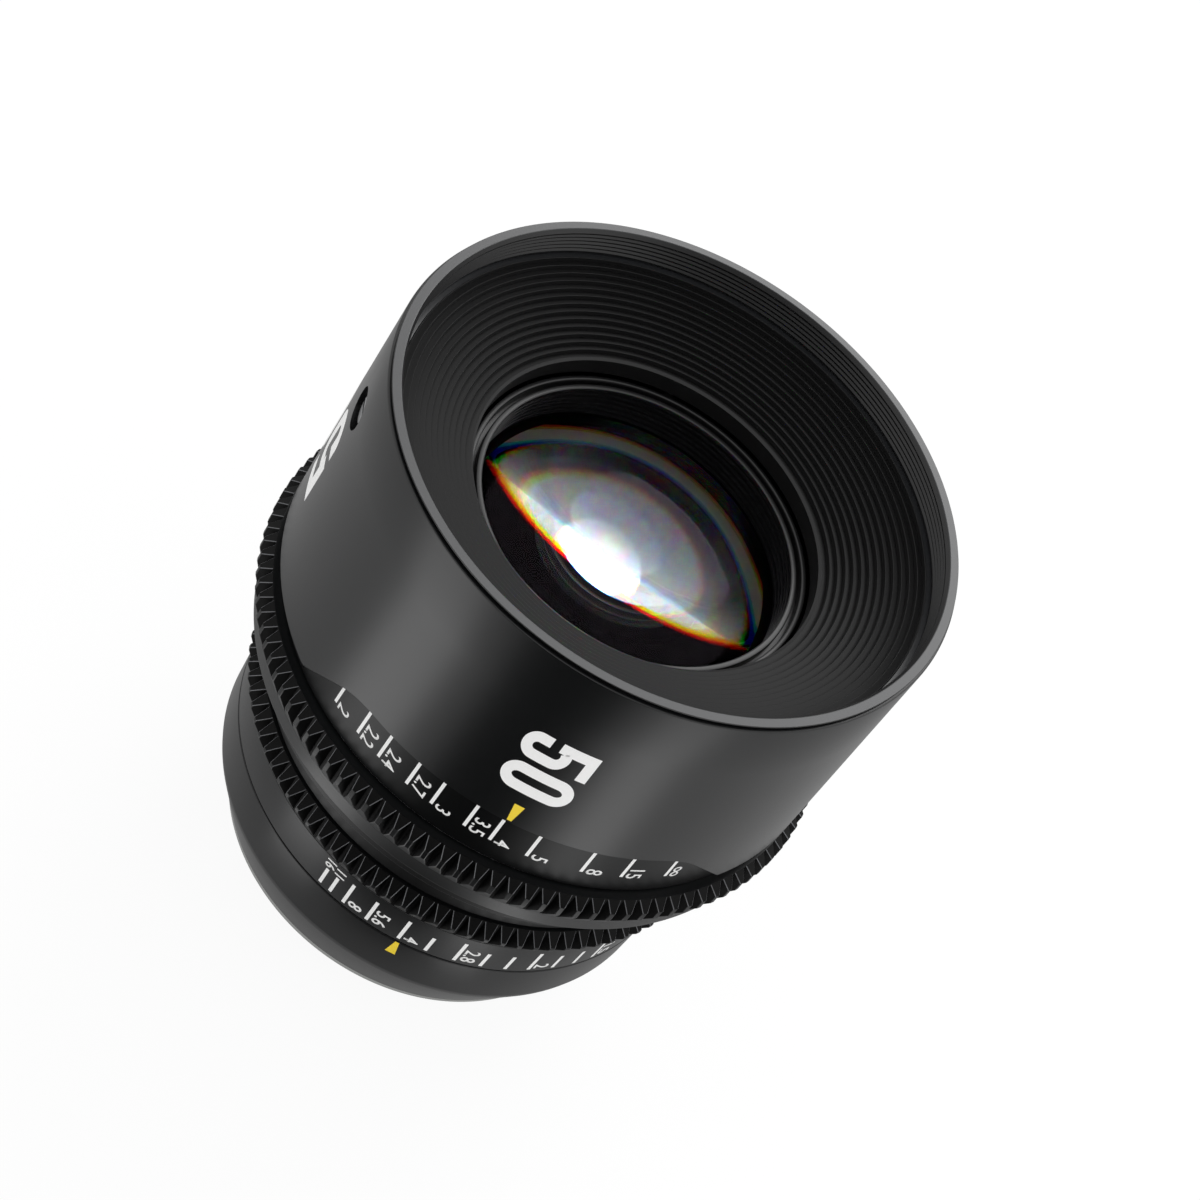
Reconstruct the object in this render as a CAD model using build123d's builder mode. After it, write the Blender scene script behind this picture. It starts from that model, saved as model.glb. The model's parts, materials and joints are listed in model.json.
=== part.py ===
"""Manual cine prime lens, built as the real barrel is: fixed shell, focus helicoid,
floating optical block and a nine-blade iris, each piece its own solid.

Frame: z = 0 is the flange plane of the mount, +Z runs out through the front glass,
and both index marks face -Y. Lengths in millimetres, angles in degrees.
The rest state is 4 ft on the focus scale and T4 on the iris scale.
"""

import math
import os

from build123d import *

os.makedirs("parts", exist_ok=True)

# Driving sizes: the clamp-on front, the overall height and the camera's mount
BARREL_R = 42.5
FRONT_Z = 93.0
REGISTER_R = 26.9
LUG_R = REGISTER_R - 0.2
TUBE_R = REGISTER_R - 1.7
MOUNT_BORE_R = TUBE_R - 1.8
PLATE_R = REGISTER_R + 4.1
PLATE_TOP = 1.0
MOUNT_END = -5.4
RUN = 0.04

# Outside, worked inward from the front barrel's radius
SKIRT_WALL = 0.9
SKIRT_R = BARREL_R - SKIRT_WALL
RIM_R = BARREL_R - 0.35
THREAD_R = BARREL_R - 2.0
BAFFLE_R = THREAD_R - 0.7
BORE_R = SKIRT_R - 2.3
DRUM_R = SKIRT_R - 0.3
DRUM_IN = DRUM_R - 1.7
SLEEVE_R = BARREL_R - 8.0
SLEEVE_IN = SLEEVE_R - 2.0
CAM_R = SLEEVE_R + 2.3
IRIS_BODY_R = SLEEVE_R + 1.5
BEAD_R = BARREL_R - 2.5
WEB_SCREWS_R = BORE_R - 2.1

# The optics and the iris scale with the sleeve's bore
SCALE = SLEEVE_IN / 32.5
FRONT_R = 24.0 * SCALE
SECOND_R = 20.8 * SCALE
THIRD_R = 18.0 * SCALE
FIFTH_R = 17.0 * SCALE
REAR_R = MOUNT_BORE_R - 4.9
NOSE_R = FRONT_R + 1.7
BAFFLE_EDGE_R = NOSE_R + 0.4

# Outside, heights
BARREL_TOP = FRONT_Z - 0.6
THREAD_REAR = FRONT_Z - 4.7
SEAT_Z = FRONT_Z - 6.4
BARREL_REAR = FRONT_Z - 40.2
WEB_LOW = BARREL_REAR + 15.2
WEB_HIGH = WEB_LOW + 3.0
WINDOW_TOP = BARREL_REAR + 7.5
WINDOW_HALF_TOP = 36.5
WINDOW_HALF_REAR = 49.4
FOCUS_TOP = BARREL_REAR - 2.8
FOCUS_REAR = FOCUS_TOP - 8.6
IRIS_TOP = FOCUS_REAR - 10.45
IRIS_REAR = IRIS_TOP - 12.55
REAR_TOP = IRIS_REAR - 0.3
SLEEVE_REAR = REAR_TOP - 8.6

# Gears of the follow-focus pitch, with as many teeth as their rings carry
MODULE = 0.8
FOCUS_TEETH = round(2 * (BARREL_R + 1.5) / MODULE) - 2
IRIS_TEETH = round(2 * (BARREL_R - 4.1) / MODULE) - 2
FOCUS_TIP_R = MODULE * (FOCUS_TEETH + 2) / 2
IRIS_TIP_R = MODULE * (IRIS_TEETH + 2) / 2
FOCUS_ROOT_R = FOCUS_TIP_R - 1.5
IRIS_ROOT_R = IRIS_TIP_R - 1.8
TOOTH_LAND = 0.75
TOOTH_FLOOR = 0.45

# Mechanism: helical cam, block and iris
CAM_LEAD = 23.75
FOCUS_BACK = 37.0
FOCUS_FORWARD = 39.3
FOLLOWER_R = 2.0
FOLLOWER_Z = 57.0
FOLLOWER_AZIMUTHS = (90.0, 210.0, 330.0)
BLADES = 9
BLADE_T = 0.10
BLADE_PITCH = 0.15
BLADE_PIN_R = 0.6
HINGE_R = 23.4 * SCALE
BLADE_IN = 14.2 * SCALE
BLADE_OUT = 20.6 * SCALE
BLADE_ARM = 8.3 * SCALE
BLADE_ARM_ANGLE = 65.0
BLADE_RATIO = 0.427
IRIS_OPEN = 51.5
IRIS_CLOSE = 22.0
BASE_TOP = 43.0
WALL_OUT = SLEEVE_IN - 1.9
WALL_IN = WALL_OUT - 0.65
WALL_TOP = 47.6
IRIS_CAM_Z = 44.6
IRIS_CAM_T = 1.3
LEVER_AZIMUTH = 90.0
LEVER_POST_R = 0.7
LEVER_POST_RADIUS = SLEEVE_IN - 1.0
FORK_Z = 24.0


def polar(radius, azimuth):
    """Returns the point at a radius and azimuth."""
    angle = math.radians(azimuth)
    return (radius * math.cos(angle), radius * math.sin(angle))


def radial_plane(azimuth, radius, height):
    """Returns the plane whose normal points outward at an azimuth."""
    x, y = polar(radius, azimuth)
    dx, dy = polar(1, azimuth)
    return Plane(origin=(x, y, height), x_dir=(-dy, dx, 0), z_dir=(dx, dy, 0))


def half_plane(azimuth):
    """Returns the plane through the lens axis with x outward and y forward."""
    dx, dy = polar(1, azimuth)
    return Plane(origin=(0, 0, 0), x_dir=(dx, dy, 0), z_dir=(dy, -dx, 0))


def turn(points, mode=Mode.ADD, start=0.0, arc=360.0):
    """Revolves a closed (radius, height) outline about the lens axis."""
    with BuildSketch(half_plane(start)) as outline:
        with BuildLine():
            Polyline(*points, close=True)
        make_face()
    revolve(outline.sketch, axis=Axis.Z, revolution_arc=arc, mode=mode)


def ring(inner, outer, low, high, mode=Mode.ADD, start=0.0, arc=360.0):
    """Turns a plain ring, or a sector of one."""
    turn([(inner, low), (outer, low), (outer, high), (inner, high)], mode, start, arc)


def bar(plane, radius, length, mode=Mode.ADD):
    """Extrudes a disc along its plane's normal."""
    with BuildSketch(plane) as disc:
        Circle(radius)
    extrude(disc.sketch, amount=length, mode=mode)


def block(plane, width, height, length, mode=Mode.ADD):
    """Extrudes a rectangle along its plane's normal."""
    with BuildSketch(plane) as face:
        Rectangle(width, height)
    extrude(face.sketch, amount=length, mode=mode)


def screw(plane, head_r, head_h, shank_r, shank_l):
    """Adds a slotted cheese-head screw, its head standing on the plane."""
    bar(plane, head_r, head_h)
    bar(plane, shank_r, -shank_l)
    block(plane.offset(head_h), 2.2 * head_r, 0.28 * head_r, -0.45 * head_h, Mode.SUBTRACT)


def flat(x, y, z, down=False):
    """Returns a level plane at a point, facing forward or rearward."""
    return Plane(origin=(x, y, z), z_dir=(0, 0, -1 if down else 1))


def save(piece, label):
    """Labels a finished piece and writes its file."""
    piece.part.label = label
    export_step(piece.part, f"parts/{label}.step")


def sag(radius, aperture):
    """Returns how far a sphere falls away at an aperture radius."""
    return abs(radius) - math.sqrt(radius * radius - aperture * aperture)


def surface(edge_z, radius, clear, outward):
    """Returns vertex height and a middle point of one polished surface."""
    if radius is None:
        return edge_z, (clear / 2, edge_z)
    side = outward if radius > 0 else -outward
    vertex = edge_z + side * sag(radius, clear)
    return vertex, (clear / 2, vertex - side * sag(radius, clear / 2))


def element(label, edge_r, high, low, front, rear, clear_front, clear_rear):
    """Turns one glass element; a positive radius bulges outward, None is flat."""
    top, top_mid = surface(high, front, clear_front, 1)
    base, base_mid = surface(low, rear, clear_rear, -1)
    with BuildPart() as glass:
        with BuildSketch(Plane.XZ) as outline:
            with BuildLine():
                if front is None:
                    Line((0, top), (clear_front, high))
                else:
                    ThreePointArc((0, top), top_mid, (clear_front, high))
                Polyline((clear_front, high), (edge_r, high), (edge_r, low), (clear_rear, low))
                if rear is None:
                    Line((clear_rear, low), (0, base))
                else:
                    ThreePointArc((clear_rear, low), base_mid, (0, base))
                Line((0, base), (0, top))
            make_face()
        revolve(outline.sketch, axis=Axis.Z)
    save(glass, label)


def gear_points(teeth, tip, root, phase):
    """Lists the corners of a spur gear with straight flanks."""
    pitch = 360 / teeth
    land = math.degrees(TOOTH_LAND / tip / 2)
    floor = math.degrees(TOOTH_FLOOR / root / 2)
    corners = []
    for k in range(teeth):
        middle = phase + k * pitch
        corners.append(polar(root, middle - pitch / 2 + floor))
        corners.append(polar(tip, middle - land))
        corners.append(polar(tip, middle + land))
        corners.append(polar(root, middle + pitch / 2 - floor))
    return corners


def gear_blank(teeth, tip, root, phase, low, high):
    """Cuts the turned blank down to a gear between two heights."""
    with BuildSketch(Plane.XY.offset(low)) as outline:
        with BuildLine():
            Polyline(*gear_points(teeth, tip, root, phase), close=True)
        make_face()
    extrude(outline.sketch, amount=high - low, mode=Mode.INTERSECT)


# Fixed shell: front ring with the filter thread bore and its relief groove
RELIEF_Z = THREAD_REAR - 0.4
with BuildPart() as front_ring:
    turn(
        [
            (BAFFLE_R, SEAT_Z),
            (SKIRT_R, SEAT_Z),
            (SKIRT_R, FRONT_Z - 0.55),
            (RIM_R, FRONT_Z - 0.3),
            (RIM_R, FRONT_Z - 0.1),
            (RIM_R - 0.1, FRONT_Z),
            (THREAD_R + 0.35, FRONT_Z),
            (THREAD_R - 0.1, FRONT_Z - 0.6),
            (THREAD_R - 0.1, FRONT_Z - 0.8),
            (THREAD_R, FRONT_Z - 0.9),
            (THREAD_R, THREAD_REAR),
            (THREAD_R + 0.5, THREAD_REAR - 0.1),
            (THREAD_R + 0.5, RELIEF_Z),
            (BAFFLE_R, RELIEF_Z),
        ]
    )
save(front_ring, "front_ring")

# Fixed shell: ridged baffle cone round the front glass
RIDGES = 14
FIRST_CREST_R = BAFFLE_R - 0.1
LAST_CREST_R = BAFFLE_EDGE_R + 0.47
RIDGE_PITCH = (FIRST_CREST_R - LAST_CREST_R) / (RIDGES - 1)
RIDGE_FALL = 0.45
LIP_TOP = THREAD_REAR - 6.3
LIP_REAR = THREAD_REAR - 8.9
ridge_line = [(BAFFLE_R, RELIEF_Z)]
for ridge in range(RIDGES):
    crest_r = FIRST_CREST_R - ridge * RIDGE_PITCH
    crest_z = RELIEF_Z + 0.2 - ridge * RIDGE_FALL
    ridge_line.append((crest_r, crest_z))
    ridge_line.append((crest_r - 0.12, crest_z))
    ridge_line.append((crest_r - 0.50, crest_z - 0.85))
ridge_line[-1] = (BAFFLE_EDGE_R + 0.05, LIP_TOP + 0.05)
with BuildPart() as baffle_cone:
    turn(
        [(BAFFLE_R - 0.7, SEAT_Z), (BAFFLE_R, SEAT_Z)]
        + ridge_line
        + [
            (BAFFLE_EDGE_R, LIP_TOP),
            (BAFFLE_EDGE_R, LIP_REAR),
            (BAFFLE_EDGE_R + 1.2, LIP_REAR),
            (BAFFLE_EDGE_R + 1.2, LIP_REAR + 1.5),
            (BAFFLE_R - 0.7, SEAT_Z - 0.5),
        ]
    )
save(baffle_cone, "baffle_cone")

# Fixed shell: front barrel with the scale window cut in its skirt
HOOK_AZIMUTH = -169.7
HOOK_Z = FRONT_Z - 11.7
HOOK_FLOOR_R = BARREL_R - 1.5
with BuildPart() as front_barrel:
    turn(
        [
            (SKIRT_R, BARREL_REAR),
            (BARREL_R - 0.15, BARREL_REAR),
            (BARREL_R, BARREL_REAR + 0.15),
            (BARREL_R, BARREL_TOP - 0.25),
            (BARREL_R - 0.25, BARREL_TOP),
            (SKIRT_R, BARREL_TOP),
            (SKIRT_R, SEAT_Z),
            (BORE_R, SEAT_Z),
            (BORE_R, WEB_HIGH),
            (SLEEVE_IN + 0.5, WEB_HIGH),
            (SLEEVE_IN + 0.5, WEB_LOW),
            (SKIRT_R, WEB_LOW),
        ]
    )
    window_rise = (WINDOW_HALF_REAR - WINDOW_HALF_TOP) / (WINDOW_TOP - BARREL_REAR)
    window_low = BARREL_REAR - 0.8
    half_low = WINDOW_HALF_REAR + 0.8 * window_rise
    with BuildSketch(Plane.XY.offset(window_low)) as window_rear:
        Polygon((0, 0), polar(80, -90 - half_low), polar(80, -90 + half_low), align=None)
    with BuildSketch(Plane.XY.offset(WINDOW_TOP)) as window_front:
        Polygon(
            (0, 0),
            polar(80, -90 - WINDOW_HALF_TOP),
            polar(80, -90 + WINDOW_HALF_TOP),
            align=None,
        )
    loft([window_rear.sketch, window_front.sketch], ruled=True, mode=Mode.SUBTRACT)
    bar(radial_plane(HOOK_AZIMUTH, HOOK_FLOOR_R, HOOK_Z), 3.15, 3.0, Mode.SUBTRACT)
    bar(radial_plane(HOOK_AZIMUTH, HOOK_FLOOR_R - 3.0, HOOK_Z), 1.2, 4.0, Mode.SUBTRACT)
    for k in range(6):
        x, y = polar(WEB_SCREWS_R, 30 + k * 60)
        bar(flat(x, y, WEB_LOW - 0.5), 1.1, 5.0, Mode.SUBTRACT)
save(front_barrel, "front_barrel")

with BuildPart() as tape_hook_screw:
    screw(radial_plane(HOOK_AZIMUTH, HOOK_FLOOR_R, HOOK_Z), 1.9, 0.9, 1.2, 1.6)
save(tape_hook_screw, "tape_hook_screw")

with BuildPart() as barrel_screws:
    for k in range(6):
        x, y = polar(WEB_SCREWS_R, 30 + k * 60)
        screw(flat(x, y, WEB_HIGH), 1.9, 1.2, 1.1, 4.5)
save(barrel_screws, "barrel_screws")

# Fixed guide sleeve: straight slots for the followers, an arc slot for the iris fork
FORK_HALF = math.degrees(2.5 / SLEEVE_IN)
with BuildPart() as guide_sleeve:
    turn(
        [
            (SLEEVE_IN, SLEEVE_REAR),
            (SLEEVE_R, SLEEVE_REAR),
            (SLEEVE_R, WEB_LOW - 2.0),
            (SKIRT_R - 0.6, WEB_LOW - 2.0),
            (SKIRT_R - 0.6, WEB_LOW),
            (SLEEVE_IN, WEB_LOW),
        ]
    )
    for azimuth in FOLLOWER_AZIMUTHS:
        with BuildSketch(radial_plane(azimuth, SLEEVE_IN - 2.5, FOLLOWER_Z + 0.08)) as slot:
            SlotCenterToCenter(5.4, 2 * (FOLLOWER_R + RUN), rotation=90)
        extrude(slot.sketch, amount=6.0, mode=Mode.SUBTRACT)
    arc_start = LEVER_AZIMUTH - IRIS_OPEN - FORK_HALF - 0.5
    arc_total = IRIS_OPEN + IRIS_CLOSE + 2 * FORK_HALF + 1.0
    ring(SLEEVE_IN - 1, SLEEVE_R + 1, FORK_Z - 2.2, FORK_Z + 2.2, Mode.SUBTRACT, arc_start, arc_total)
    for k in range(6):
        x, y = polar(WEB_SCREWS_R, 30 + k * 60)
        bar(flat(x, y, WEB_LOW - 1.5), 1.1, 3.0, Mode.SUBTRACT)
save(guide_sleeve, "guide_sleeve")

with BuildPart() as focus_thrust_ring:
    ring(SLEEVE_R, CAM_R - 0.2, WEB_LOW - 2.6, WEB_LOW - 2.0)
save(focus_thrust_ring, "focus_thrust_ring")

# Fixed centre ring between the two gear rings, with the groove of the focus stops
NECK_Z = IRIS_TOP + 3.05
with BuildPart() as centre_ring:
    turn(
        [
            (SLEEVE_R, IRIS_TOP + 0.35),
            (IRIS_BODY_R + 0.2, IRIS_TOP + 0.35),
            (IRIS_BODY_R + 0.2, FOCUS_REAR - 4.6),
            (IRIS_BODY_R + 1.0, FOCUS_REAR - 3.8),
            (BEAD_R - 0.3, FOCUS_REAR - 3.8),
            (BEAD_R, FOCUS_REAR - 3.5),
            (BEAD_R, FOCUS_REAR - 0.8),
            (BEAD_R - 0.3, FOCUS_REAR - 0.5),
            (BEAD_R - 0.7, FOCUS_REAR - 0.5),
            (BEAD_R - 0.7, FOCUS_REAR - 2.3),
            (BEAD_R - 3.0, FOCUS_REAR - 2.3),
            (BEAD_R - 3.0, FOCUS_REAR - 1.1),
            (SLEEVE_R, FOCUS_REAR - 1.1),
        ]
    )
    for k in range(3):
        bar(radial_plane(60 + k * 120, SLEEVE_R - 0.5, NECK_Z), 1.0, 3.0, Mode.SUBTRACT)
save(centre_ring, "centre_ring")

with BuildPart() as centre_ring_screws:
    for k in range(3):
        outer = radial_plane(60 + k * 120, IRIS_BODY_R, NECK_Z)
        bar(outer, 1.0, -1.45)
        block(outer, 2.2, 0.3, -0.4, Mode.SUBTRACT)
save(centre_ring_screws, "centre_ring_screws")

STOP_PIN_R = 0.8
STOP_RADIUS = BEAD_R - 1.85
STOP_AZIMUTH = 90.0
stop_half = math.degrees(STOP_PIN_R / STOP_RADIUS) + 0.3
with BuildPart() as focus_stop_blocks:
    for start in (FOCUS_FORWARD + stop_half, -FOCUS_BACK - stop_half - 7.0):
        groove = (BEAD_R - 3.0, BEAD_R - 0.7, FOCUS_REAR - 2.3, FOCUS_REAR - 0.6)
        ring(*groove, Mode.ADD, STOP_AZIMUTH + start, 7.0)
save(focus_stop_blocks, "focus_stop_blocks")

# Fixed rear barrel and bayonet mount
MOUNT_SCREWS_R = PLATE_R - 2.4
with BuildPart() as rear_barrel:
    turn(
        [
            (SLEEVE_R, REAR_TOP),
            (IRIS_BODY_R - 0.1, REAR_TOP),
            (IRIS_BODY_R, REAR_TOP - 0.1),
            (IRIS_BODY_R - 0.3, REAR_TOP - 7.5),
            (IRIS_BODY_R - 0.6, REAR_TOP - 8.5),
            (PLATE_R + 0.2, PLATE_TOP),
            (TUBE_R + 0.8, PLATE_TOP),
            (TUBE_R + 0.8, PLATE_TOP + 3.5),
            (PLATE_R - 0.8, PLATE_TOP + 3.5),
            (SLEEVE_IN - 2.3, SLEEVE_REAR),
            (SLEEVE_R, SLEEVE_REAR),
        ]
    )
    for k in range(4):
        x, y = polar(MOUNT_SCREWS_R, 45 + k * 90)
        bar(flat(x, y, 0.5), 0.9, 3.3, Mode.SUBTRACT)
save(rear_barrel, "rear_barrel")

with BuildPart() as bayonet_mount:
    turn(
        [
            (MOUNT_BORE_R, MOUNT_END),
            (TUBE_R - 0.2, MOUNT_END),
            (TUBE_R, MOUNT_END + 0.2),
            (TUBE_R, -1.5),
            (REGISTER_R - 0.2, -1.5),
            (REGISTER_R, -1.3),
            (REGISTER_R, 0),
            (PLATE_R - 0.15, 0),
            (PLATE_R, 0.15),
            (PLATE_R, PLATE_TOP),
            (MOUNT_BORE_R, PLATE_TOP),
        ]
    )
    for k in range(3):
        lug_start = 5 + k * 120
        lug_profile = [
            (TUBE_R - 0.2, MOUNT_END),
            (LUG_R - 0.2, MOUNT_END),
            (LUG_R, MOUNT_END + 0.2),
            (LUG_R, MOUNT_END + 1.5),
            (TUBE_R - 0.2, MOUNT_END + 1.5),
        ]
        turn(lug_profile, Mode.ADD, lug_start, 50)
    for k in range(4):
        x, y = polar(MOUNT_SCREWS_R, 45 + k * 90)
        bar(flat(x, y, -0.5), 0.9, 2.0, Mode.SUBTRACT)
        bar(flat(x, y, -0.5), 1.5, 1.1, Mode.SUBTRACT)
    x, y = polar(PLATE_R - 2.0, 180)
    bar(flat(x, y, -0.5), 1.3, 2.0, Mode.SUBTRACT)
save(bayonet_mount, "bayonet_mount")

with BuildPart() as mount_screws:
    for k in range(4):
        x, y = polar(MOUNT_SCREWS_R, 45 + k * 90)
        head = flat(x, y, 0.6, down=True)
        bar(head, 1.5, 0.55)
        bar(head, 0.9, -3.2)
        block(head.offset(0.55), 3.2, 0.4, -0.3, Mode.SUBTRACT)
save(mount_screws, "mount_screws")

# Focus ring body: gear ring, scale drum and helical cam sleeve
FOCUS_PHASE = -105.23
CAM_SCREWS_Z = FOCUS_TOP + 1.5
with BuildPart() as focus_ring:
    turn(
        [
            (CAM_R, FOCUS_REAR),
            (FOCUS_ROOT_R - 0.4, FOCUS_REAR),
            (FOCUS_ROOT_R - 0.2, FOCUS_REAR + 0.2),
            (FOCUS_ROOT_R - 0.1, FOCUS_TOP - 6.0),
            (FOCUS_TIP_R, FOCUS_TOP - 3.2),
            (FOCUS_TIP_R, FOCUS_TOP - 1.4),
            (FOCUS_ROOT_R + 0.1, FOCUS_TOP),
            (DRUM_IN, FOCUS_TOP),
            (DRUM_IN, FOCUS_TOP + 3.0),
            (CAM_R, FOCUS_TOP + 3.0),
        ]
    )
    teeth_low = FOCUS_REAR - 1.0
    gear_blank(FOCUS_TEETH, FOCUS_TIP_R + 0.01, FOCUS_ROOT_R, FOCUS_PHASE, teeth_low, FOCUS_TOP + 4)
    x, y = polar(STOP_RADIUS, STOP_AZIMUTH)
    bar(flat(x, y, FOCUS_REAR - 1.4), STOP_PIN_R, 5.0, Mode.SUBTRACT)
    for k in range(3):
        bar(radial_plane(30 + k * 120, CAM_R - 1, CAM_SCREWS_Z), 0.9, 6.0, Mode.SUBTRACT)
save(focus_ring, "focus_ring")

with BuildPart() as focus_stop_pin:
    x, y = polar(STOP_RADIUS, STOP_AZIMUTH)
    bar(flat(x, y, FOCUS_REAR - 1.9), STOP_PIN_R, 5.5)
save(focus_stop_pin, "focus_stop_pin")

with BuildPart() as focus_scale_drum:
    turn(
        [
            (DRUM_IN, FOCUS_TOP),
            (DRUM_R - 0.6, FOCUS_TOP),
            (DRUM_R, FOCUS_TOP + 0.6),
            (DRUM_R, WEB_LOW - 4.0),
            (DRUM_IN, WEB_LOW - 4.0),
        ]
    )
save(focus_scale_drum, "focus_scale_drum")

with BuildPart() as cam_sleeve:
    ring(SLEEVE_R + RUN, CAM_R, FOCUS_REAR - 0.8, WEB_LOW - 2.9)
    slot_turn = FOCUS_BACK + FOCUS_FORWARD + 1.0
    slot_low = FOLLOWER_Z - CAM_LEAD * (FOCUS_BACK + 0.5) / 360
    slot_height = CAM_LEAD * slot_turn / 360
    wall_mid = (SLEEVE_R + CAM_R) / 2
    slot_half = (FOLLOWER_R + RUN) / math.cos(math.atan(CAM_LEAD / (2 * math.pi * SLEEVE_R)))
    for azimuth in FOLLOWER_AZIMUTHS:
        start = azimuth + FOCUS_BACK + 0.5
        helix = Helix(CAM_LEAD, slot_height, wall_mid, center=(0, 0, slot_low), lefthand=True)
        path = helix.rotate(Axis.Z, start)
        sx, sy = polar(wall_mid, start)
        dx, dy = polar(1, start)
        cutter = Plane(origin=(sx, sy, slot_low), x_dir=(dx, dy, 0), z_dir=(-dy, dx, 0))
        with BuildSketch(cutter) as slot:
            Rectangle(4.0, 2 * slot_half)
        sweep(slot.sketch, path=path, is_frenet=True, mode=Mode.SUBTRACT)
        bar(radial_plane(start, SLEEVE_IN, slot_low), FOLLOWER_R + RUN, 7.0, Mode.SUBTRACT)
        far_end = radial_plane(start - slot_turn, SLEEVE_IN, slot_low + slot_height)
        bar(far_end, FOLLOWER_R + RUN, 7.0, Mode.SUBTRACT)
    for k in range(3):
        bar(radial_plane(30 + k * 120, CAM_R - 0.9, CAM_SCREWS_Z), 0.9, 2.0, Mode.SUBTRACT)
save(cam_sleeve, "cam_sleeve")

with BuildPart() as cam_sleeve_screws:
    for k in range(3):
        outer = radial_plane(30 + k * 120, DRUM_IN - 0.2, CAM_SCREWS_Z)
        bar(outer, 0.9, CAM_R - 0.8 - DRUM_IN + 0.2)
        block(outer, 2.0, 0.3, -0.4, Mode.SUBTRACT)
save(cam_sleeve_screws, "cam_sleeve_screws")

# Optical block: barrel, cells and retaining rings, seated round each element's edge
CELL_R = SLEEVE_IN - 1.3
CELL_SCREWS_R = CELL_R - 2.7
CELL_Z = FRONT_Z - 23.0
CELL_TOP = FRONT_Z - 13.8
PIN_ROOT_R = SLEEVE_IN - 3.5
with BuildPart() as block_barrel:
    turn(
        [
            (THIRD_R, 46.2),
            (WALL_IN, 46.2),
            (WALL_IN, WALL_TOP),
            (SLEEVE_IN - 0.7, WALL_TOP),
            (SLEEVE_IN - RUN, WALL_TOP + 0.8),
            (SLEEVE_IN - RUN, FOLLOWER_Z + 7.6),
            (CELL_R, FOLLOWER_Z + 8.0),
            (CELL_R, CELL_Z),
            (SECOND_R, CELL_Z),
            (SECOND_R, 60.9),
            (17.0 * SCALE, 60.9),
            (17.0 * SCALE, 57.8),
            (THIRD_R, 57.8),
        ]
    )
    for azimuth in FOLLOWER_AZIMUTHS:
        bar(radial_plane(azimuth, PIN_ROOT_R, FOLLOWER_Z), FOLLOWER_R, 6.0, Mode.SUBTRACT)
        bar(radial_plane(azimuth, PIN_ROOT_R - 3.5, FOLLOWER_Z), 0.8, 4.0, Mode.SUBTRACT)
    for k in range(4):
        x, y = polar(CELL_SCREWS_R, 45 + k * 90)
        bar(flat(x, y, CELL_Z - 4.0), 0.9, 5.0, Mode.SUBTRACT)
save(block_barrel, "block_barrel")

with BuildPart() as cam_followers:
    for azimuth in FOLLOWER_AZIMUTHS:
        bar(radial_plane(azimuth, PIN_ROOT_R, FOLLOWER_Z), FOLLOWER_R, CAM_R - PIN_ROOT_R - 0.2)
        bar(radial_plane(azimuth, PIN_ROOT_R - 0.5, FOLLOWER_Z), 0.8, 9.0, Mode.SUBTRACT)
        bar(radial_plane(azimuth, CAM_R - 1.3, FOLLOWER_Z), 1.4, 2.0, Mode.SUBTRACT)
save(cam_followers, "cam_followers")

with BuildPart() as follower_screws:
    for azimuth in FOLLOWER_AZIMUTHS:
        screw(radial_plane(azimuth, CAM_R - 1.3, FOLLOWER_Z), 1.3, 0.8, 0.8, 9.5)
save(follower_screws, "follower_screws")

GLASS_EDGE = CELL_Z + 3.6
with BuildPart() as front_cell:
    turn(
        [
            (FRONT_R - 1.4, CELL_Z),
            (CELL_R, CELL_Z),
            (CELL_R, CELL_Z + 2.2),
            (CELL_R - 0.3, CELL_Z + 2.5),
            (NOSE_R, CELL_Z + 2.5),
            (NOSE_R, CELL_TOP - 0.2),
            (NOSE_R - 0.2, CELL_TOP),
            (NOSE_R - 0.6, CELL_TOP),
            (NOSE_R - 0.8, CELL_TOP - 0.2),
            (NOSE_R - 0.8, CELL_TOP - 1.6),
            (FRONT_R + 0.3, CELL_TOP - 1.6),
            (FRONT_R + 0.3, GLASS_EDGE),
            (FRONT_R, GLASS_EDGE),
            (FRONT_R, CELL_Z + 0.6),
            (FRONT_R - 1.4, CELL_Z + 0.6),
        ]
    )
    for k in range(4):
        x, y = polar(CELL_SCREWS_R, 45 + k * 90)
        bar(flat(x, y, CELL_Z - 1.0), 0.9, 5.0, Mode.SUBTRACT)
save(front_cell, "front_cell")

with BuildPart() as front_cell_screws:
    for k in range(4):
        x, y = polar(CELL_SCREWS_R, 45 + k * 90)
        screw(flat(x, y, CELL_Z + 2.5), 1.6, 1.0, 0.9, 6.0)
save(front_cell_screws, "front_cell_screws")

RING_IN = FRONT_R - 0.6
RING_OUT = FRONT_R + 0.3
RING_TOP = CELL_TOP - 0.2
groove_wall = []
for k in range(5):
    groove_z = RING_TOP - 0.6 - k * 0.95
    groove_wall.append((RING_IN, groove_z))
    groove_wall.append((RING_IN + 0.5, groove_z - 0.45))
with BuildPart() as front_retaining_ring:
    turn(
        [
            (RING_IN, GLASS_EDGE),
            (RING_OUT, GLASS_EDGE),
            (RING_OUT, RING_TOP - 0.2),
            (RING_OUT - 0.2, RING_TOP),
            (RING_IN + 0.2, RING_TOP),
            (RING_IN, RING_TOP - 0.2),
        ]
        + groove_wall
    )
save(front_retaining_ring, "front_retaining_ring")

with BuildPart() as second_retaining_ring:
    ring(SECOND_R - 0.8, SECOND_R, 62.5, 65.5)
save(second_retaining_ring, "second_retaining_ring")

with BuildPart() as doublet_retaining_ring:
    ring(THIRD_R - 2.3, THIRD_R, 46.3, 47.2)
save(doublet_retaining_ring, "doublet_retaining_ring")

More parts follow.
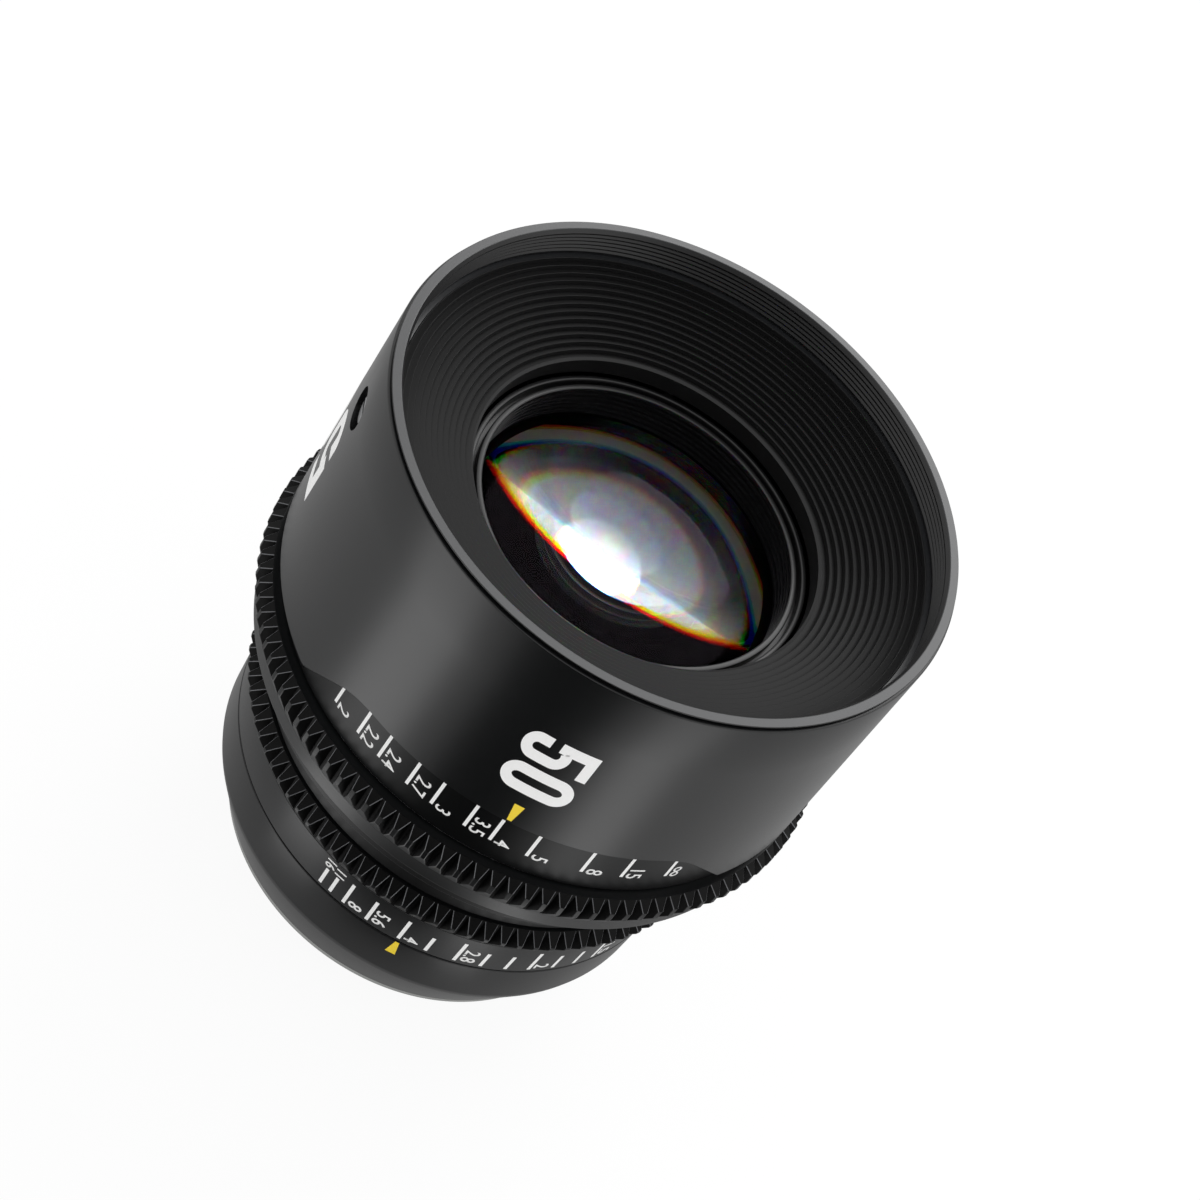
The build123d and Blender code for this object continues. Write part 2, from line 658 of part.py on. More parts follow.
# Glass: edge radius, edge heights, then radius of curvature and clear radius per side
crown_front = (30.0 * SCALE, None, THIRD_R - 1.1, 10.0)
flint_front = (None, -22.0 * SCALE, 10.0, THIRD_R - 2.5)
flint_rear = (-22.0 * SCALE, None, FIFTH_R - 2.0, 10.0)
crown_rear = (None, 36.0 * SCALE, 10.0, FIFTH_R - 1.0)
first = (70.0 * SCALE, -150.0 * SCALE, FRONT_R - 0.7, FRONT_R - 1.4)
second = (34.0 * SCALE, -60.0 * SCALE, SECOND_R - 0.9, FIFTH_R - 0.1)
element("element_1_front_meniscus", FRONT_R, GLASS_EDGE, CELL_Z + 0.6, *first)
element("element_2_meniscus", SECOND_R, 62.5, 60.9, *second)
element("element_3_crown", THIRD_R, 57.8, 56.0, *crown_front)
element("element_4_flint", THIRD_R, 56.0, 47.2, *flint_front)
element("element_5_flint", FIFTH_R, 40.6, 32.7, *flint_rear)
element("element_6_crown", FIFTH_R, 32.7, 31.0, *crown_rear)
element("element_7_biconvex", REAR_R, 18.5, 16.5, 90.0, 45.0, REAR_R - 0.9, REAR_R - 0.9)
element("element_8_rear", REAR_R, 8.5, 6.0, 60.0, 200.0, REAR_R - 0.9, REAR_R - 0.9)

# Optical block: rear cell, whose tail passes through the mount
TAIL_R = MOUNT_BORE_R - 0.9
BASE_SCREWS_R = SLEEVE_IN - 5.5
with BuildPart() as rear_cell:
    turn(
        [
            (REAR_R + 2.3, -2.0),
            (TAIL_R - 0.2, -2.0),
            (TAIL_R, -1.8),
            (TAIL_R, 8.0),
            (SLEEVE_IN - 5.5, 13.0),
            (SLEEVE_IN - 5.5, 37.5),
            (SLEEVE_IN - 2.2, 38.5),
            (SLEEVE_IN - 2.2, 41.0),
            (FIFTH_R, 41.0),
            (FIFTH_R, 31.0),
            (FIFTH_R - 1.0, 31.0),
            (FIFTH_R - 1.0, 20.2),
            (REAR_R - 0.8, 19.5),
            (REAR_R - 0.8, 18.5),
            (REAR_R, 18.5),
            (REAR_R, 3.2),
            (REAR_R + 2.3, 3.2),
        ]
    )
    for k in range(3):
        x, y = polar(BASE_SCREWS_R, 160 + k * 120)
        bar(flat(x, y, 35.0), 0.8, 7.0, Mode.SUBTRACT)
        bar(flat(x, y, 34.0), 1.5, 4.2, Mode.SUBTRACT)
save(rear_cell, "rear_cell")

with BuildPart() as rear_cell_screws:
    for k in range(3):
        x, y = polar(BASE_SCREWS_R, 160 + k * 120)
        screw(flat(x, y, 38.2, down=True), 1.4, 1.0, 0.8, 4.2)
save(rear_cell_screws, "rear_cell_screws")

with BuildPart() as rear_spacer:
    ring(REAR_R - 0.8, REAR_R, 8.5, 16.5)
save(rear_spacer, "rear_spacer")

with BuildPart() as rear_retaining_ring:
    ring(REAR_R - 0.8, REAR_R, 3.2, 6.0)
save(rear_retaining_ring, "rear_retaining_ring")

with BuildPart() as stray_light_ring:
    turn(
        [
            (REAR_R + 0.1, 1.8),
            (REAR_R + 2.3, 1.8),
            (REAR_R + 2.3, 3.2),
            (REAR_R - 0.6, 3.2),
        ]
    )
save(stray_light_ring, "stray_light_ring")

# Iris: base cup with the hinge holes, screwed on the block barrel's rear collar
with BuildPart() as iris_base:
    turn(
        [
            (BLADE_IN + 0.4, BASE_TOP - 2.0),
            (WALL_OUT, BASE_TOP - 2.0),
            (WALL_OUT, WALL_TOP),
            (WALL_IN, WALL_TOP),
            (WALL_IN, BASE_TOP),
            (BLADE_IN + 0.4, BASE_TOP),
        ]
    )
    lever_half = math.degrees(1.5 / WALL_IN)
    cut_start = LEVER_AZIMUTH - IRIS_OPEN - lever_half - 0.5
    cut_total = IRIS_OPEN + IRIS_CLOSE + 2 * lever_half + 1.0
    ring(WALL_IN - 1.0, WALL_OUT + 1.0, 44.2, 46.2, Mode.SUBTRACT, cut_start, cut_total)
    for k in range(3):
        x, y = polar(BASE_SCREWS_R, 160 + k * 120)
        bar(flat(x, y, 40.0), 0.8, 2.4, Mode.SUBTRACT)
    for k in range(BLADES):
        x, y = polar(HINGE_R, k * 360 / BLADES)
        bar(flat(x, y, 40.0), BLADE_PIN_R + RUN, 4.0, Mode.SUBTRACT)
save(iris_base, "iris_base")


def blade_pin(open_angle):
    """Returns where a blade's drive pin is when it has closed by an angle."""
    dx, dy = polar(BLADE_ARM, BLADE_ARM_ANGLE + open_angle)
    return (HINGE_R + dx, dy)


def cam_slot_line(side):
    """Lists one wall of a cam slot: the drive pin's path seen from the turning ring."""
    steps = 14
    centres = []
    for k in range(steps + 1):
        turned = -IRIS_OPEN - 0.6 + k * (IRIS_OPEN + IRIS_CLOSE + 1.2) / steps
        x, y = blade_pin(BLADE_RATIO * (turned + IRIS_OPEN))
        angle = math.radians(-turned)
        px = x * math.cos(angle) - y * math.sin(angle)
        py = x * math.sin(angle) + y * math.cos(angle)
        centres.append((px, py))
    wall = []
    for k in range(steps + 1):
        before = centres[max(k - 1, 0)]
        after = centres[min(k + 1, steps)]
        length = math.hypot(after[0] - before[0], after[1] - before[1])
        nx = -(after[1] - before[1]) / length
        ny = (after[0] - before[0]) / length
        reach = side * (BLADE_PIN_R + RUN)
        wall.append((centres[k][0] + nx * reach, centres[k][1] + ny * reach))
    return wall, centres


left_wall, slot_centres = cam_slot_line(1)
right_wall, slot_centres = cam_slot_line(-1)


def slot_cap(centre, neighbour):
    """Returns the outermost point of a slot's round end."""
    length = math.hypot(centre[0] - neighbour[0], centre[1] - neighbour[1])
    reach = (BLADE_PIN_R + RUN) / length
    x = centre[0] + (centre[0] - neighbour[0]) * reach
    y = centre[1] + (centre[1] - neighbour[1]) * reach
    return (x, y)


with BuildPart() as iris_cam_ring:
    ring(HINGE_R - 1.2, WALL_IN - 0.05, IRIS_CAM_Z, IRIS_CAM_Z + IRIS_CAM_T)
    arm_z = IRIS_CAM_Z + IRIS_CAM_T / 2
    block(radial_plane(LEVER_AZIMUTH, LEVER_POST_RADIUS - 2.3, arm_z), 3.0, IRIS_CAM_T, 3.0)
    for k in range(BLADES):
        tilted = Plane(
            origin=(0, 0, IRIS_CAM_Z - 1),
            x_dir=(*polar(1, k * 360 / BLADES), 0),
            z_dir=(0, 0, 1),
        )
        with BuildSketch(tilted) as slot:
            with BuildLine():
                Spline(*left_wall)
                ThreePointArc(
                    left_wall[-1],
                    slot_cap(slot_centres[-1], slot_centres[-2]),
                    right_wall[-1],
                )
                Spline(*right_wall)
                ThreePointArc(
                    right_wall[0],
                    slot_cap(slot_centres[0], slot_centres[1]),
                    left_wall[0],
                )
            make_face()
        extrude(slot.sketch, amount=IRIS_CAM_T + 2, mode=Mode.SUBTRACT)
    x, y = polar(LEVER_POST_RADIUS, LEVER_AZIMUTH)
    bar(flat(x, y, IRIS_CAM_Z - 1), 0.45, IRIS_CAM_T + 2, Mode.SUBTRACT)
save(iris_cam_ring, "iris_cam_ring")

with BuildPart() as iris_cam_lever:
    x, y = polar(LEVER_POST_RADIUS, LEVER_AZIMUTH)
    bar(flat(x, y, FORK_Z - 5.0), LEVER_POST_R, IRIS_CAM_Z - FORK_Z + 5.0)
    bar(flat(x, y, IRIS_CAM_Z), 0.45, IRIS_CAM_T)
save(iris_cam_lever, "iris_cam_lever")

# Iris: nine thin blades, each in its own layer, drawn open and turned to T4
CLOSED_AT_REST = BLADE_RATIO * IRIS_OPEN
for number in range(BLADES):
    layer = BASE_TOP + 0.10 + number * BLADE_PITCH
    turned = number * 360 / BLADES
    hx, hy = polar(HINGE_R, turned)
    seat = Plane(
        origin=(hx, hy, layer),
        x_dir=(*polar(1, turned + CLOSED_AT_REST), 0),
        z_dir=(0, 0, 1),
    )
    with BuildPart() as blade:
        with BuildSketch(seat) as sheet:
            with BuildLine():
                inner_a = polar(BLADE_IN, 3)
                inner_m = polar(BLADE_IN, 76)
                inner_b = polar(BLADE_IN, 149)
                outer_a = polar(BLADE_OUT, 3)
                outer_m = polar(BLADE_OUT, 76)
                outer_b = polar(BLADE_OUT, 149)
                tip = polar((BLADE_IN + BLADE_OUT) / 2, 158)
                shift = HINGE_R
                ThreePointArc(
                    (inner_a[0] - shift, inner_a[1]),
                    (inner_m[0] - shift, inner_m[1]),
                    (inner_b[0] - shift, inner_b[1]),
                )
                ThreePointArc(
                    (inner_b[0] - shift, inner_b[1]),
                    (tip[0] - shift, tip[1]),
                    (outer_b[0] - shift, outer_b[1]),
                )
                ThreePointArc(
                    (outer_b[0] - shift, outer_b[1]),
                    (outer_m[0] - shift, outer_m[1]),
                    (outer_a[0] - shift, outer_a[1]),
                )
                Line((outer_a[0] - shift, outer_a[1]), (inner_a[0] - shift, inner_a[1]))
            make_face()
            with Locations((-2.4 * SCALE, 0.9)):
                SlotOverall(7.6 * SCALE, 2.8, rotation=-20)
            ax, ay = polar(BLADE_ARM / 2, BLADE_ARM_ANGLE)
            with Locations((ax, ay)):
                SlotCenterToCenter(BLADE_ARM, 2.4, rotation=BLADE_ARM_ANGLE)
        extrude(sheet.sketch, amount=BLADE_T)
        bar(seat, BLADE_PIN_R, -(layer - 41.4))
        dx, dy = polar(BLADE_ARM, turned + CLOSED_AT_REST + BLADE_ARM_ANGLE)
        drive_z = layer + BLADE_T
        bar(flat(hx + dx, hy + dy, drive_z), BLADE_PIN_R, 45.7 - drive_z)
    save(blade, f"iris_blade_{number + 1}")

# Iris ring body: gear ring and the fork that drives the lever
IRIS_PHASE = -102.5
with BuildPart() as iris_ring:
    turn(
        [
            (SLEEVE_R + RUN, IRIS_REAR),
            (IRIS_BODY_R - 0.1, IRIS_REAR),
            (IRIS_BODY_R, IRIS_REAR + 0.1),
            (IRIS_ROOT_R - 0.2, IRIS_TOP - 5.65),
            (IRIS_TIP_R, IRIS_TOP - 2.45),
            (IRIS_TIP_R, IRIS_TOP - 1.65),
            (IRIS_ROOT_R + 0.1, IRIS_TOP),
            (SLEEVE_R + RUN, IRIS_TOP),
        ]
    )
    teeth_low = IRIS_REAR - 1.0
    gear_blank(IRIS_TEETH, IRIS_TIP_R + 0.01, IRIS_ROOT_R, IRIS_PHASE, teeth_low, IRIS_TOP + 1.0)
    block(radial_plane(LEVER_AZIMUTH, SLEEVE_R - 1.0, FORK_Z), 5.0, 3.6, 1.7, Mode.SUBTRACT)
    bar(radial_plane(LEVER_AZIMUTH, SLEEVE_R - 0.5, FORK_Z), 0.8, 4.0, Mode.SUBTRACT)
    bar(radial_plane(LEVER_AZIMUTH, SLEEVE_R + 1.3, FORK_Z), 1.4, 4.0, Mode.SUBTRACT)
save(iris_ring, "iris_ring")

with BuildPart() as iris_drive_fork:
    block(radial_plane(LEVER_AZIMUTH, SLEEVE_R - 3.8, FORK_Z), 5.0, 3.6, 4.5)
    slot_w = 2 * (LEVER_POST_R + 0.03)
    block(radial_plane(LEVER_AZIMUTH, SLEEVE_R - 4.5, FORK_Z), slot_w, 5.0, 2.4, Mode.SUBTRACT)
    bar(radial_plane(LEVER_AZIMUTH, SLEEVE_R - 1.3, FORK_Z), 0.8, 4.0, Mode.SUBTRACT)
save(iris_drive_fork, "iris_drive_fork")

with BuildPart() as fork_screw:
    bar(radial_plane(LEVER_AZIMUTH, SLEEVE_R - 1.1, FORK_Z), 0.8, 2.4)
    bar(radial_plane(LEVER_AZIMUTH, SLEEVE_R + 1.3, FORK_Z), 1.35, 0.45)
    slot_face = radial_plane(LEVER_AZIMUTH, SLEEVE_R + 1.75, FORK_Z)
    block(slot_face, 3.0, 0.4, -0.25, Mode.SUBTRACT)
save(fork_screw, "fork_screw")
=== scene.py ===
"""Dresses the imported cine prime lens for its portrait.

The solids' frame is kept: z = 0 is the mount's flange plane, +Z runs out through the
front glass and both index marks face -Y. Sizes are written in millimetres and turned
to metres where a mesh is made. The focus scale rests at 4 ft and the iris at T4.
"""

import json
import logging
import math
from contextlib import contextmanager
from dataclasses import dataclass, field
from enum import Enum
from typing import Callable, Collection, Iterable, Iterator, Sequence

import bpy
from mathutils import Matrix, Quaternion, Vector

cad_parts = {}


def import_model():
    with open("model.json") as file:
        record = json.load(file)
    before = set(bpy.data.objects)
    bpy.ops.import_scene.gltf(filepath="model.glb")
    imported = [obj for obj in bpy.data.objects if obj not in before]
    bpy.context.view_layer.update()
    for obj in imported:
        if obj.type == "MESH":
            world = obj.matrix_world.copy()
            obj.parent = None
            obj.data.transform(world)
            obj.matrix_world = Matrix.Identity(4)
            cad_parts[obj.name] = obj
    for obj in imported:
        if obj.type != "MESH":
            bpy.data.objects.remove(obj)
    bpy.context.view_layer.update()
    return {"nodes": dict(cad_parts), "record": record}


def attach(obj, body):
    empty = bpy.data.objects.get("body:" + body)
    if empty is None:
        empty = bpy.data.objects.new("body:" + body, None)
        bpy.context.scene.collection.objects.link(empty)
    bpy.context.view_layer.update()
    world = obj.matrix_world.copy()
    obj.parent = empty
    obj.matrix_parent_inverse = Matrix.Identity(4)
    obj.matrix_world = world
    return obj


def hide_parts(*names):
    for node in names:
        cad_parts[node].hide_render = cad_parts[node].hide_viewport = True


LOG = logging.getLogger("lens")
MM = 0.001
# Vertices nearer than this are one, metres.
WELD = 1e-7
LENS_AXIS = {"center": (0, 0, 0), "axis": (0, 0, 1)}
INDEX_AZIMUTH = -90.0
# How far paint stands over the surface, and how deep a tick and a numeral reach below it, mm.
PROUD = 0.015
TICK_DEPTH = 0.1
INK_DEPTH = 0.06
# How far over the surface a numeral is laid before it is wrapped, in strips this wide, mm.
LIFT = 0.5
STRIP = 0.7
# Half the length of the surface that a numeral is wrapped onto, mm.
BED_REACH = 16.0
# Height of a numeral as a share of the font's size.
NUMERAL_SHARE = 0.73
WHITE_LIGHT = (1.0, 1.0, 1.0, 1.0)
Point = tuple[float, float]
Piece = bpy.types.Object
Tree = bpy.types.NodeTree
Socket = bpy.types.NodeSocket


class Paint(Enum):
    """Filled engraving colours, as sRGB hex."""

    WHITE = "ffffff"
    YELLOW = "ffe034"


class Body(Enum):
    """The moving bodies that visible pieces ride on."""

    SHELL = "barrel"
    FOCUS = "focus_ring"
    OPTICS = "optical_block"
    IRIS = "iris_ring"


def linear(hex_colour: str) -> tuple[float, float, float, float]:
    """Turns an sRGB hex colour to linear light.

    Args:
        hex_colour: Six hex digits.

    Returns:
        Linear red, green, blue and an alpha of one.
    """
    channels = []
    for start in (0, 2, 4):
        value = int(hex_colour[start : start + 2], 16) / 255
        channels.append(value / 12.92 if value <= 0.04045 else ((value + 0.055) / 1.055) ** 2.4)
    return (channels[0], channels[1], channels[2], 1.0)


def place(radius: float, azimuth: float, height: float) -> Vector:
    """Finds a point by cylinder coordinates.

    Args:
        radius: Distance from the lens axis, mm.
        azimuth: Degrees from +X, anticlockwise seen from the front.
        height: Height over the flange plane, mm.

    Returns:
        The point in metres.
    """
    angle = math.radians(azimuth)
    return Vector((radius * math.cos(angle), radius * math.sin(angle), height)) * MM


def add_node(
    tree: Tree, kind: str, inputs: dict[str | int, object] | None = None
) -> bpy.types.Node:
    """Adds one shader node.

    Args:
        tree: The tree that takes the node.
        kind: Blender's name for the node type, after its ShaderNode.
        inputs: Input names or places with their values or the sockets that feed them,
            and the node's own properties.

    Returns:
        The new node.
    """
    node = tree.nodes.new("ShaderNode" + kind)
    for name, value in (inputs or {}).items():
        if isinstance(name, str) and name not in node.inputs:
            setattr(node, name, value)
        elif isinstance(value, Socket):
            tree.links.new(value, node.inputs[name])
        else:
            node.inputs[name].default_value = value
    return node


def work_out(tree: Tree, operation: str, *values: float | Socket) -> Socket:
    """Adds one calculation with one or two values and returns its result."""
    return add_node(tree, "Math", {"operation": operation, **dict(enumerate(values))}).outputs[0]


def spread_range(
    tree: Tree, value: Socket, low: float, high: float, start: float = 0.0, end: float = 1.0
) -> Socket:
    """Maps a value onto a range.

    Args:
        tree: The tree that takes the node.
        value: The value.
        low: What the value at the start becomes.
        high: What the value at the end becomes.
        start: Start of the value's own range.
        end: End of the value's own range.

    Returns:
        The mapped value.
    """
    settings = {"Value": value, "From Min": start, "From Max": end, "To Min": low, "To Max": high}
    return add_node(tree, "MapRange", settings).outputs["Result"]


def mix_colours(tree: Tree, share: Socket, low: str, high: str) -> Socket:
    """Mixes two sRGB hex colours by a share from 0 to 1."""
    settings = {"data_type": "RGBA", 0: share, 6: linear(low), 7: linear(high)}
    return add_node(tree, "Mix", settings).outputs[2]


def mix_shaders(tree: Tree, share: float | Socket, first: Socket, second: Socket) -> Socket:
    """Mixes two shaders by the share of the second."""
    return add_node(tree, "MixShader", {0: share, 1: first, 2: second}).outputs[0]


def empty_tree(owner: bpy.types.Material | bpy.types.World) -> Tree:
    """Gives a material or the world a node tree with nothing in it."""
    owner.use_nodes = True
    owner.node_tree.nodes.clear()
    return owner.node_tree


@dataclass(frozen=True)
class Finish:
    """One procedural finish: a base colour that drifts a little, over a fine grain.

    Attributes:
        name: The maker's name of the finish.
        colour: Base colour, sRGB hex.
        dark: Colour of the grain's low places, sRGB hex.
        roughness: Mean roughness.
        metallic: One for bare metal.
        grain_mm: Size of the grain, mm.
        relief_mm: Height of the grain, mm.
        ior: Refractive index of a coating or plastic.
    """

    name: str
    colour: str
    dark: str
    roughness: float
    metallic: float = 0.0
    grain_mm: float = 0.2
    relief_mm: float = 0.004
    ior: float = 1.5

    def material(self) -> bpy.types.Material:
        """Makes the material once and returns it ever after."""
        made = bpy.data.materials.get(self.name)
        if made is None:
            made = bpy.data.materials.new(self.name)
            tree = empty_tree(made)
            add_node(tree, "OutputMaterial", {"Surface": self.shade(tree)})
        return made

    def noise(self, tree: Tree, **settings: float) -> Socket:
        """Builds noise as coarse as the grain, fixed to the piece."""
        where = add_node(tree, "TexCoord").outputs["Object"]
        scale = 1 / (self.grain_mm * MM)
        return add_node(tree, "TexNoise", {"Scale": scale, "Vector": where, **settings}).outputs[0]

    def pattern(self, tree: Tree) -> Socket:
        """Builds the height pattern, from 0 to 1."""
        return self.noise(tree, Detail=3.0, Roughness=0.6)

    def shade(self, tree: Tree) -> Socket:
        """Builds the shader.

        Args:
            tree: The material's tree.

        Returns:
            The surface socket.
        """
        height = self.pattern(tree)
        relief = {"Strength": 0.6, "Distance": self.relief_mm * MM, "Height": height}
        settings = {
            "Metallic": self.metallic,
            "IOR": self.ior,
            "Base Color": mix_colours(tree, height, self.dark, self.colour),
            "Roughness": spread_range(tree, height, self.roughness + 0.05, self.roughness - 0.05),
            "Normal": add_node(tree, "Bump", relief).outputs["Normal"],
        }
        return add_node(tree, "BsdfPrincipled", settings).outputs["BSDF"]


@dataclass(frozen=True)
class TurnedFinish(Finish):
    """A lathe finish: fine grooves run round the lens axis.

    Attributes:
        feed_mm: Distance from groove to groove, mm, drawn coarse enough to show.
    """

    feed_mm: float = 0.25

    def pattern(self, tree: Tree) -> Socket:
        """Builds grooves that follow radius and height, roughened by a little noise."""
        where = add_node(tree, "TexCoord").outputs["Object"]
        split = add_node(tree, "SeparateXYZ", {"Vector": where}).outputs
        flat = add_node(tree, "CombineXYZ", {"X": split["X"], "Y": split["Y"]}).outputs["Vector"]
        radius = add_node(tree, "VectorMath", {"operation": "LENGTH", 0: flat}).outputs["Value"]
        along = work_out(tree, "ADD", radius, split["Z"])
        phase = work_out(tree, "MULTIPLY", along, 2 * math.pi / (self.feed_mm * MM))
        wave = work_out(tree, "SINE", phase)
        groove = spread_range(tree, wave, 0.35, 0.65, start=-1.0)
        grain = self.noise(tree, Detail=2.0)
        return add_node(tree, "Mix", {0: 0.4, 2: groove, 3: grain}).outputs[0]


@dataclass(frozen=True)
class GlassFinish(Finish):
    """Polished optical glass with a multi-layer coating, which tints its reflections.

    Attributes:
        coating: Tint of what it reflects, sRGB hex.
        spread: How far red and blue are bent apart from green where light enters.
    """

    coating: str = "ffffff"
    spread: float = 0.0

    def shade(self, tree: Tree) -> Socket:
        """Builds clear glass under a thin coloured coating."""
        if self.spread > 0:
            return self.disperse(tree)
        height = self.pattern(tree)
        settings = {
            "Base Color": linear(self.colour),
            "IOR": self.ior,
            "Transmission Weight": 1.0,
            "Specular Tint": linear(self.coating),
            "Roughness": spread_range(tree, height, self.roughness, self.roughness + 0.004),
        }
        return add_node(tree, "BsdfPrincipled", settings).outputs["BSDF"]

    def disperse(self, tree: Tree) -> Socket:
        """Builds a face that splits what enters by colour, for the rainbow inside."""
        total = None
        for channel, bend in enumerate((1, 0, -1)):
            colour = [0.0, 0.0, 0.0, 1.0]
            colour[channel] = 1.0
            settings = {"Color": colour, "Roughness": 0.0, "IOR": self.ior + self.spread * bend}
            ray = add_node(tree, "BsdfRefraction", settings).outputs[0]
            if total is not None:
                ray = add_node(tree, "AddShader", {0: total, 1: ray}).outputs[0]
            total = ray
        share = add_node(tree, "Fresnel", {"IOR": self.ior}).outputs[0]
        tint = mix_colours(tree, self.pattern(tree), self.coating, self.coating)
        mirror = add_node(tree, "BsdfGlossy", {"Roughness": 0.0, "Color": tint}).outputs[0]
        entering = mix_shaders(tree, share, total, mirror)
        leaving = add_node(tree, "BsdfGlass", {"Roughness": 0.0, "IOR": self.ior}).outputs[0]
        side = add_node(tree, "NewGeometry").outputs["Backfacing"]
        return mix_shaders(tree, side, entering, leaving)


@dataclass(frozen=True)
class CementFinish(Finish):
    """Clear cement between two glasses: light crosses it without bending."""

    def shade(self, tree: Tree) -> Socket:
        """Builds a clear face with the faintest unevenness."""
        tint = mix_colours(tree, self.pattern(tree), self.dark, self.colour)
        return add_node(tree, "BsdfTransparent", {"Color": tint}).outputs["BSDF"]


@dataclass(frozen=True)
class InkFinish(Finish):
    """Ink on ground glass, which drinks part of the light even at a low angle.

    Attributes:
        drunk: Share of the light that it drinks.
    """

    drunk: float = 0.55

    def shade(self, tree: Tree) -> Socket:
        """Builds the satin ink, weakened by a plain dark share."""
        satin = super().shade(tree)
        dark = add_node(tree, "BsdfDiffuse", {"Color": linear(self.dark)}).outputs["BSDF"]
        return mix_shaders(tree, self.drunk, satin, dark)


# Hard black anodising over a bead-blasted surface: satin, with a grain one can just see.
ANODISED = Finish("black_anodising", "101112", "0b0c0d", 0.31, grain_mm=0.16, relief_mm=0.005)
# The drum and the rear shell, blasted finer, take darker, less reflective copies of the anodising:
# painted shade, for the dimmer reflections that these low, recessed parts catch.
REAR_SHELL_SHADED_ANODISING = Finish("fine_black_anodising", "0e0f10", "0a0a0b", 0.31, grain_mm=0.12, ior=1.43)
DRUM_SHADED_ANODISING = Finish("drum_black_anodising", "0c0d0e", "090909", 0.33, grain_mm=0.12, ior=1.31)
# The same anodising on milled teeth, a touch smoother because the cutter left it so.
TOOTH_ANODISED = Finish("black_anodised_teeth", "121314", "0c0d0e", 0.36, grain_mm=0.3, ior=1.42)
# The teeth's broken front edges, painted light grey: a painted highlight where these edges catch
# the light.
TOOTH_EDGE_HIGHLIGHT = Finish("rubbed_tooth_edge", "6c6d70", "57585b", 0.4, grain_mm=0.3)
# The teeth's flanks, gap floors and front bevels, darker and duller than the teeth: painted shade
# in the gaps between them.
TOOTH_GAP_SHADE = Finish("dull_black_flanks", "080808", "040404", 0.6, grain_mm=0.25, ior=1.22)
# Flocked-looking matt lacquer that kills stray light in front of the glass.
MATT_LACQUER = Finish("matt_black_lacquer", "0e0e0f", "090909", 0.5, grain_mm=0.12, ior=1.45)
# Edge blacking on cells and retaining rings, slightly silky where it was turned.
TURNED_BLACK = TurnedFinish("turned_black", "0e0e0f", "080809", 0.38, feed_mm=0.3)
# Edge ink on the ground rims of the glass and on the walls between: it drinks stray light.
EDGE_INK = InkFinish(
    "lens_edge_ink", "060606", "040404", 0.8, grain_mm=0.8, relief_mm=0.0, ior=1.15
)
# The fine-ground flat that seats the second glass, left grey.
GROUND_SEAT = Finish("ground_glass_seat", "f0ece8", "e0dcd8", 0.6, relief_mm=0.0, ior=1.2)
# The front ring's rim: anodised after a fine facing cut, its top face painted greyer than the
# barrel's black: a painted reflection of the overhead light.
RIM_WITH_PAINTED_REFLECTION = TurnedFinish("faced_black_rim", "313234", "28292b", 0.3, feed_mm=0.2)
# The drum's broken rear edge, painted light grey: a painted highlight, the thin bright line where
# the edge catches the light.
DRUM_EDGE_HIGHLIGHT = Finish("thin_black_on_edge", "b4b5b8", "96979a", 0.4, grain_mm=0.3)
# Turned stainless steel of the mount: bright, with the feed of the lathe in it.
MOUNT_STEEL = TurnedFinish(
    "turned_stainless", "cfd0ce", "b3b4b2", 0.24, metallic=1.0, feed_mm=0.22, relief_mm=0.002
)
SCREW_STEEL = Finish("plain_screw_steel", "bdbebf", "8f9092", 0.3, metallic=1.0, grain_mm=0.3)
BLACK_SCREW = Finish("blackened_screw_steel", "2a2a2c", "1b1b1c", 0.4, metallic=0.6)
INNER_ALLOY = TurnedFinish("plain_turned_alloy", "8d8f92", "76787b", 0.34, metallic=1.0)
TURNED_BRASS = TurnedFinish("turned_brass", "c9a350", "a8843a", 0.28, metallic=1.0)
POLYMER = Finish("natural_bearing_polymer", "d8d2c2", "c9c2b0", 0.5, grain_mm=0.4)
BLADE_STEEL = Finish("blackened_blade_steel", "242426", "18181a", 0.42, metallic=0.4)
WHITE_FILL = Finish("white_engraving_paint", Paint.WHITE.value, "f8f8f6", 0.5, grain_mm=0.3)
YELLOW_FILL = Finish("yellow_engraving_paint", Paint.YELLOW.value, "f8d62a", 0.5, grain_mm=0.3)
# Polished glass under a multi-layer coating: clear, with a weak purple or green reflection.
FRONT_GLASS = GlassFinish("coated_dense_flint", "fbfcff", "f6f7fb", 0.0, ior=1.9, coating="4c464e")
MIDDLE_GLASS = GlassFinish(
    "coated_light_flint", "fdfdfb", "f8f8f6", 0.0, ior=1.745, coating="484b52"
)
CROWN_GLASS = GlassFinish("coated_crown_glass", "fdfdfb", "f8f8f6", 0.0, ior=1.52, coating="6b665c")
REAR_GLASS = GlassFinish("coated_rear_flint", "fdfdfb", "f8f8f6", 0.0, ior=1.8, coating="5c6b5e")
# The front face of that glass, which splits the light that turns back inside.
FRONT_FACE = GlassFinish(
    "coated_front_face", "fbfcff", "f6f7fb", 0.0, ior=1.9, coating="4c464e", spread=0.05
)
# Optical cement of the two doublets, as clear as the glass on either side.
CEMENT = CementFinish("optical_cement", "fdfdfb", "fbfbf8", 0.0, grain_mm=2.0)

SLOT_FINISHES: dict[str, Finish] = {
    "black_anodised": ANODISED,
    "black_gear": TOOTH_ANODISED,
    "matte_black": TURNED_BLACK,
    "inner_aluminium": INNER_ALLOY,
    "mount_steel": MOUNT_STEEL,
    "screw_steel": SCREW_STEEL,
    "dark_screw_steel": BLACK_SCREW,
    "brass": TURNED_BRASS,
    "bearing_polymer": POLYMER,
    "blade_steel": BLADE_STEEL,
    "coated_glass": CROWN_GLASS,
}

INKED_NODES = (
    "block_barrel",
    "second_retaining_ring",
    "doublet_retaining_ring",
    "stray_light_ring",
    "iris_base",
    "rear_cell",
    "rear_spacer",
    "rear_retaining_ring",
)


